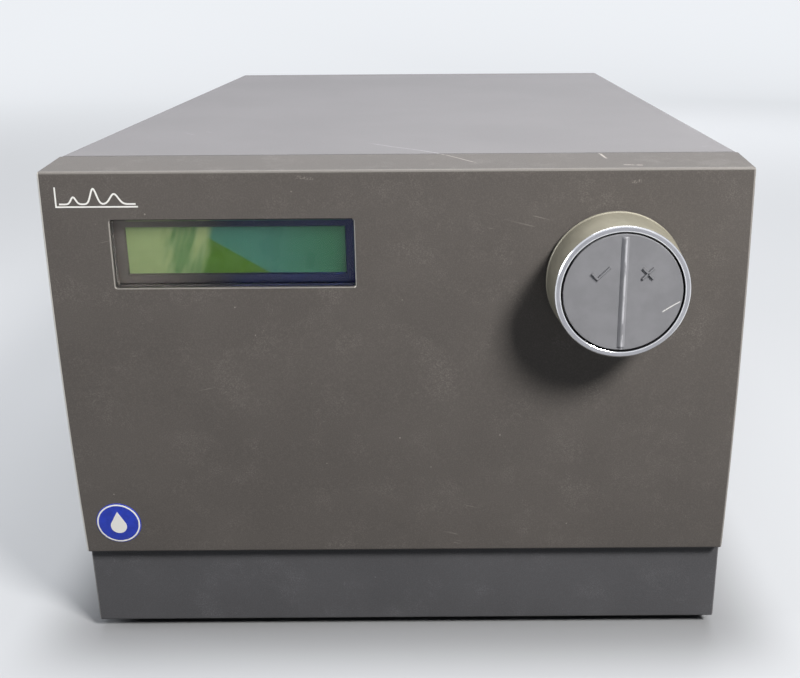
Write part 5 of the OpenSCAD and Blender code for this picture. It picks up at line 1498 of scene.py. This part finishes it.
def keystone(x, z, grow):
    """Outline of a nine-way shell, wider at the top, with round corners."""
    w, h, draft, bend = 8.2 + grow, 4.0 + grow, 1.2, 1.6
    points = [Vector(p) for p in ((-w, h), (w, h), (w - draft, -h), (draft - w, -h))]
    out = []
    for i, p in enumerate(points):
        before = (points[i - 1] - p).normalized()
        after = (points[(i + 1) % 4] - p).normalized()
        for t in range(6):
            s = t / 5
            out.append(p + before * bend * (1 - s) ** 2 + after * bend * s ** 2)
    return [(x + p.x * MM, z + p.y * MM) for p in out]


class MONITOR_OT_ports(Operator):
    """Nine-way data ports: plated shells, black faces and contact pins"""

    bl_idname = "monitor.ports"
    bl_label = "Data Ports"

    def execute(self, context):
        low, high = corners("signal_ports")
        _, z = centre(low, high)
        inner = corners("rear_panel")[1].y - PANEL
        pitch = (high.x - low.x - 2 * PORT_W) / 2
        face = high.y - SHELL_RIM
        bm = bmesh.new()
        contacts = bmesh.new()
        for x in [low.x + PORT_W + k * pitch for k in range(3)]:
            add_box(bm, (x - PORT_W, inner - PORT_FLANGE, z - PORT_H),
                    (x + PORT_W, inner, z + PORT_H))
            add_box(bm, (x - CORE_W, low.y, z - CORE_H),
                    (x + CORE_W, inner - PORT_FLANGE + CORE_LAP, z + CORE_H), mat=1)
            shell = ((0.0, inner - 0.5 * MM), (0.0, high.y - 0.3 * MM), (-0.25, high.y),
                     (-0.6, high.y), (-0.6, face))
            loops = [[bm.verts.new((a, y, b)) for a, b in keystone(x, z, grow)]
                     for grow, y in shell]
            skin(bm, loops, caps=False)
            bm.faces.new(loops[-1]).material_index = 1
            bm.faces.new(list(reversed(loops[0])))
            for count, rise in CONTACT_ROWS:
                for c in range(count):
                    across = x + (c - (count - 1) / 2) * CONTACT_PITCH
                    add_lathe(contacts, CONTACT, (across, face, z + rise), steps=14)
        ports = mesh_object("data_ports", bm, finish_named("nickel"), finish_named("black"))
        # the shells' faces end up looking inwards, so this cut leaves the contacts as pins
        carve(ports, contacts)
        place(ports, "case", "nickel", ["signal_ports"], angle=30)
        return {"FINISHED"}


NUT_R, NUT_H, THREAD_R = 4.6 * MM, 2.5 * MM, 3.2 * MM
TURNS, THREAD_PITCH, THREAD_CUT = 13, 0.5 * MM, 0.2 * MM
SOCKET_BORE, FIBRE_BORE = 1.6 * MM, 0.8 * MM
COLLAR_R, COLLAR_DEEP, NUT_BORE = 4.1 * MM, 2 * MM, 3.1 * MM


class MONITOR_OT_fibres(Operator):
    """Threaded brass fibre ports with hexagon nuts"""

    bl_idname = "monitor.fibres"
    bl_label = "Fibre Ports"

    def execute(self, context):
        low, high = corners("fibre_ports")
        _, z = centre(low, high)
        wall = corners("rear_panel")[1].y
        inner = wall - PANEL
        thread = []
        for k in range(TURNS):
            y = wall + NUT_H + 0.1 * MM + k * THREAD_PITCH
            thread += [(THREAD_R - THREAD_CUT, y), (THREAD_R, y + THREAD_PITCH / 2)]
        socket = [(FIBRE_BORE, low.y), (THREAD_R, low.y), (THREAD_R, inner - COLLAR_DEEP),
                  (COLLAR_R, inner - COLLAR_DEEP), (COLLAR_R, inner), (THREAD_R, inner)] + thread \
            + [(THREAD_R - THREAD_CUT, high.y - 0.3 * MM), (2.7 * MM, high.y), (1.8 * MM, high.y),
               (SOCKET_BORE, high.y - 0.2 * MM), (SOCKET_BORE, wall), (FIBRE_BORE, wall)]
        nut = [(NUT_BORE, wall), (NUT_R * 0.985, wall), (NUT_R, wall + 0.25 * MM),
               (NUT_R, wall + NUT_H - 0.3 * MM), (NUT_R * 0.95, wall + NUT_H),
               (NUT_BORE, wall + NUT_H)]
        bm = bmesh.new()
        for x in (low.x + NUT_R, high.x - NUT_R):
            add_lathe(bm, socket, (x, 0, z), steps=40, closed=True)
            add_lathe(bm, nut, (x, 0, z), steps=6, closed=True)
        ports = mesh_object("fibre_sockets", bm, finish_named("brass"))
        place(ports, "case", "fibre_brass", ["fibre_ports"], angle=25)
        return {"FINISHED"}


# ---------------------------------------------------------------- Stage and finishes


NODE_SLOT = {part["node"]: part["material_slot"] for part in frame["record"]["subparts"]}


class MONITOR_OT_finishes(Operator):
    """Finishes for the engineering nodes that keep their own shape"""

    bl_idname = "monitor.finishes"
    bl_label = "Inner Finishes"

    def execute(self, context):
        for name in sorted(frame["nodes"]):
            node = frame["nodes"][name]
            material = finish_named(SLOT_FINISH[NODE_SLOT[name]])
            if not node.material_slots:
                node.data.materials.append(material)
            for held in node.material_slots:
                held.material = material
        return {"FINISHED"}


def seen(paintwork):
    """1 for what the eye, a mirror or clear plastic sees, 0 for the light that falls on pieces."""
    rays = [paintwork.add("ShaderNodeLightPath", {}, {}, kind)
            for kind in ("Is Camera Ray", "Is Glossy Ray", "Is Transmission Ray")]
    return rays[0].atleast(rays[1]).atleast(rays[2])


FLOOR_GLOW, FAR_GLOW = 0.36, 0.46
NEAR, FAR = 0.6, 2.6                            # where the backdrop's glow starts and is full
# the dark beside and inside the case is a painted shadow: the floor's glow is taken away there
SHADE_X, SHADE_Y, SHADE_IN = 0.040, 0.046, 0.004    # reach of the dark beside and inside the case


def backdrop_finish(colour):
    """Floor and backdrop that look pale and keep their shadows, and throw little light back; round
    the case their glow is taken away, a painted shadow.
    """
    p = Paintwork("pale backdrop", Roughness=0.8, Specular_IOR_Level=0.0)
    pale = p.mottle(p.noise(0.5, detail=2.0), colour, 0.985, 1.0)
    p.set("Base Color", p.blend(seen(p), shaded(colour, 0.34), pale))
    reach = p.add("ShaderNodeVectorMath", {"operation": "LENGTH"}, {0: p.where()}, "Value")
    front, cover = corners("front_plinth")[0].y, corners("top_cover")[1]
    wide, deep = cover.x, (cover.y - front) / 2
    # painted shadow: no glow under the case and for a few centimetres beside it
    painted_shadow = abs(p.axis(0)).between(wide + SHADE_X, wide - SHADE_IN) \
        * abs(p.axis(1) - (front + cover.y) / 2).between(deep + SHADE_Y, deep)
    strength = seen(p) * (reach.between(NEAR, FAR) * FAR_GLOW + (1 - painted_shadow) * FLOOR_GLOW)
    glow = p.add("ShaderNodeEmission", {}, {"Color": (0.93, 0.96, 1.0), "Strength": strength})
    both = p.add("ShaderNodeAddShader", {}, {0: Wire(p, p.shader.outputs[0]), 1: glow})
    p.feed(p.output.inputs["Surface"], both)
    return p.material


# name, place, aim, width, watts and colour
LAMPS = (
    ("key", (0.79, -0.97, 1.09), (0.02, -0.10, 0.11), 0.34, 39.0, (1.0, 0.98, 0.95)),
    ("overhead", (0.0, 0.20, 1.45), (0.0, 0.0, 0.1), 1.2, 18.0, (0.97, 0.98, 1.0)),
    ("side", (-1.2, -0.22, 0.58), (0.0, -0.10, 0.10), 0.6, 9.0, (0.95, 0.97, 1.0)),
    ("back", (0.5, 1.4, 0.9), (0.0, 0.2, 0.1), 0.8, 12.0, (1.0, 1.0, 1.0)),
)
ROOM_LIGHT, ROOM_SEEN = 0.06, 0.85
FLOOR_REACH, BACKDROP_TOP, SWEEP_Y, SWEEP_R = 6.0, 4.5, 1.9, 0.5
EYE, PITCH, ROLL = (0.01725, -0.57015, 0.25881), math.radians(18.95), -0.0067
LENS, SENSOR, SHIFT = 46.03, 36.0, -0.0561


class MONITOR_OT_stage(Operator):
    """Pale floor and backdrop, soft lamps and the camera"""

    bl_idname = "monitor.stage"
    bl_label = "Stage"

    def execute(self, context):
        scene = context.scene
        path = [(-FLOOR_REACH, 0.0)] + arc((SWEEP_Y, SWEEP_R), SWEEP_R, 270, 360, 12) \
            + [(SWEEP_Y + SWEEP_R, BACKDROP_TOP)]
        bm = bmesh.new()
        left, right = ([bm.verts.new((side * FLOOR_REACH, y, z)) for y, z in path]
                       for side in (-1, 1))
        for i in range(len(path) - 1):
            bm.faces.new([left[i], right[i], right[i + 1], left[i + 1]])
        floor = mesh_object("stage_floor", bm, backdrop_finish(scene.monitor_colours.floor))
        floor.data.shade_smooth()
        light_room(scene)
        lamps = [add_lamp(*row) for row in LAMPS]
        lamps[-1].visible_camera = lamps[-1].visible_glossy = False
        place_camera(scene)
        scene.view_settings.view_transform = "Standard"
        return {"FINISHED"}


def light_room(scene):
    """A dim even light on the pieces, and a pale room behind them."""
    world = scene.world = bpy.data.worlds.new("soft room")
    world.use_nodes = True
    tree = world.node_tree

    def larger(first, second):
        node = tree.nodes.new("ShaderNodeMath")
        node.operation = "MAXIMUM"
        tree.links.new(first, node.inputs[0])
        tree.links.new(second, node.inputs[1])
        return node.outputs[0]

    rays = tree.nodes.new("ShaderNodeLightPath").outputs
    level = tree.nodes.new("ShaderNodeMapRange")
    level.inputs["To Min"].default_value = ROOM_LIGHT
    level.inputs["To Max"].default_value = ROOM_SEEN
    mirrored = larger(rays["Is Camera Ray"], rays["Is Glossy Ray"])
    tree.links.new(larger(mirrored, rays["Is Transmission Ray"]), level.inputs["Value"])
    glow = tree.nodes["Background"]
    glow.inputs["Color"].default_value = (0.90, 0.93, 1.0, 1.0)
    tree.links.new(level.outputs[0], glow.inputs["Strength"])


def add_lamp(name, at, toward, width, power, colour):
    """A square soft lamp aimed at a point."""
    light = bpy.data.lights.new(name, "AREA")
    light.size, light.energy, light.color = width, power, colour
    lamp = bpy.data.objects.new(name, light)
    bpy.context.scene.collection.objects.link(lamp)
    lamp.location = at
    lamp.rotation_euler = (Vector(toward) - Vector(at)).to_track_quat("-Z", "Y").to_euler()
    return lamp


def place_camera(scene):
    """Camera in front and a little above, looking down at the face."""
    look = Vector((0, math.cos(PITCH), -math.sin(PITCH)))
    right = Vector((1, 0, 0))
    up = right.cross(look)
    side = right * math.cos(ROLL) + up * math.sin(ROLL)
    above = up * math.cos(ROLL) - right * math.sin(ROLL)
    camera = bpy.data.cameras.new("camera")
    camera.lens, camera.sensor_width, camera.shift_x, camera.clip_start = LENS, SENSOR, SHIFT, 0.01
    holder = bpy.data.objects.new("camera", camera)
    scene.collection.objects.link(holder)
    turn = Matrix((side, above, -look)).transposed()
    holder.matrix_world = Matrix.Translation(EYE) @ turn.to_4x4()
    scene.camera = holder


# ---------------------------------------------------------------- Panel and running


GROUPS = (
    ("monitor_shell", ShellSizes), ("monitor_display", DisplaySizes),
    ("monitor_knob", KnobSizes), ("monitor_colours", Colours),
)

STEPS = (
    MONITOR_OT_finishes, MONITOR_OT_bezel, MONITOR_OT_plinth, MONITOR_OT_cover,
    MONITOR_OT_display, MONITOR_OT_print, MONITOR_OT_badge, MONITOR_OT_ring, MONITOR_OT_keys,
    MONITOR_OT_feet, MONITOR_OT_screws, MONITOR_OT_inlet, MONITOR_OT_rocker, MONITOR_OT_drawer,
    MONITOR_OT_ports, MONITOR_OT_fibres,
    MONITOR_OT_stage,
)


class MONITOR_PT_panel(Panel):
    """Sizes, colours and build steps of the monitor"""

    bl_idname = "MONITOR_PT_panel"
    bl_label = "UV Absorbance Monitor"
    bl_space_type = "VIEW_3D"
    bl_region_type = "UI"
    bl_category = "Monitor"

    def draw(self, context):
        for step in STEPS:
            self.layout.operator(step.bl_idname)
        for name, group in GROUPS:
            box = self.layout.box()
            box.label(text=group.__name__)
            for prop in group.__annotations__:
                box.prop(getattr(context.scene, name), prop)


def register():
    """Makes the sizes, the steps and the panel known to Blender."""
    for name, group in GROUPS:
        bpy.utils.register_class(group)
        setattr(bpy.types.Scene, name, PointerProperty(type=group))
    for step in STEPS + (MONITOR_PT_panel,):
        bpy.utils.register_class(step)


def unregister():
    """Takes everything back out of Blender."""
    for step in reversed(STEPS + (MONITOR_PT_panel,)):
        bpy.utils.unregister_class(step)
    for name, group in reversed(GROUPS):
        delattr(bpy.types.Scene, name)
        bpy.utils.unregister_class(group)


def main():
    """Runs every step in order."""
    register()
    for step in STEPS:
        family, action = step.bl_idname.split(".")
        getattr(getattr(bpy.ops, family), action)()


if __name__ == "__main__":
    main()
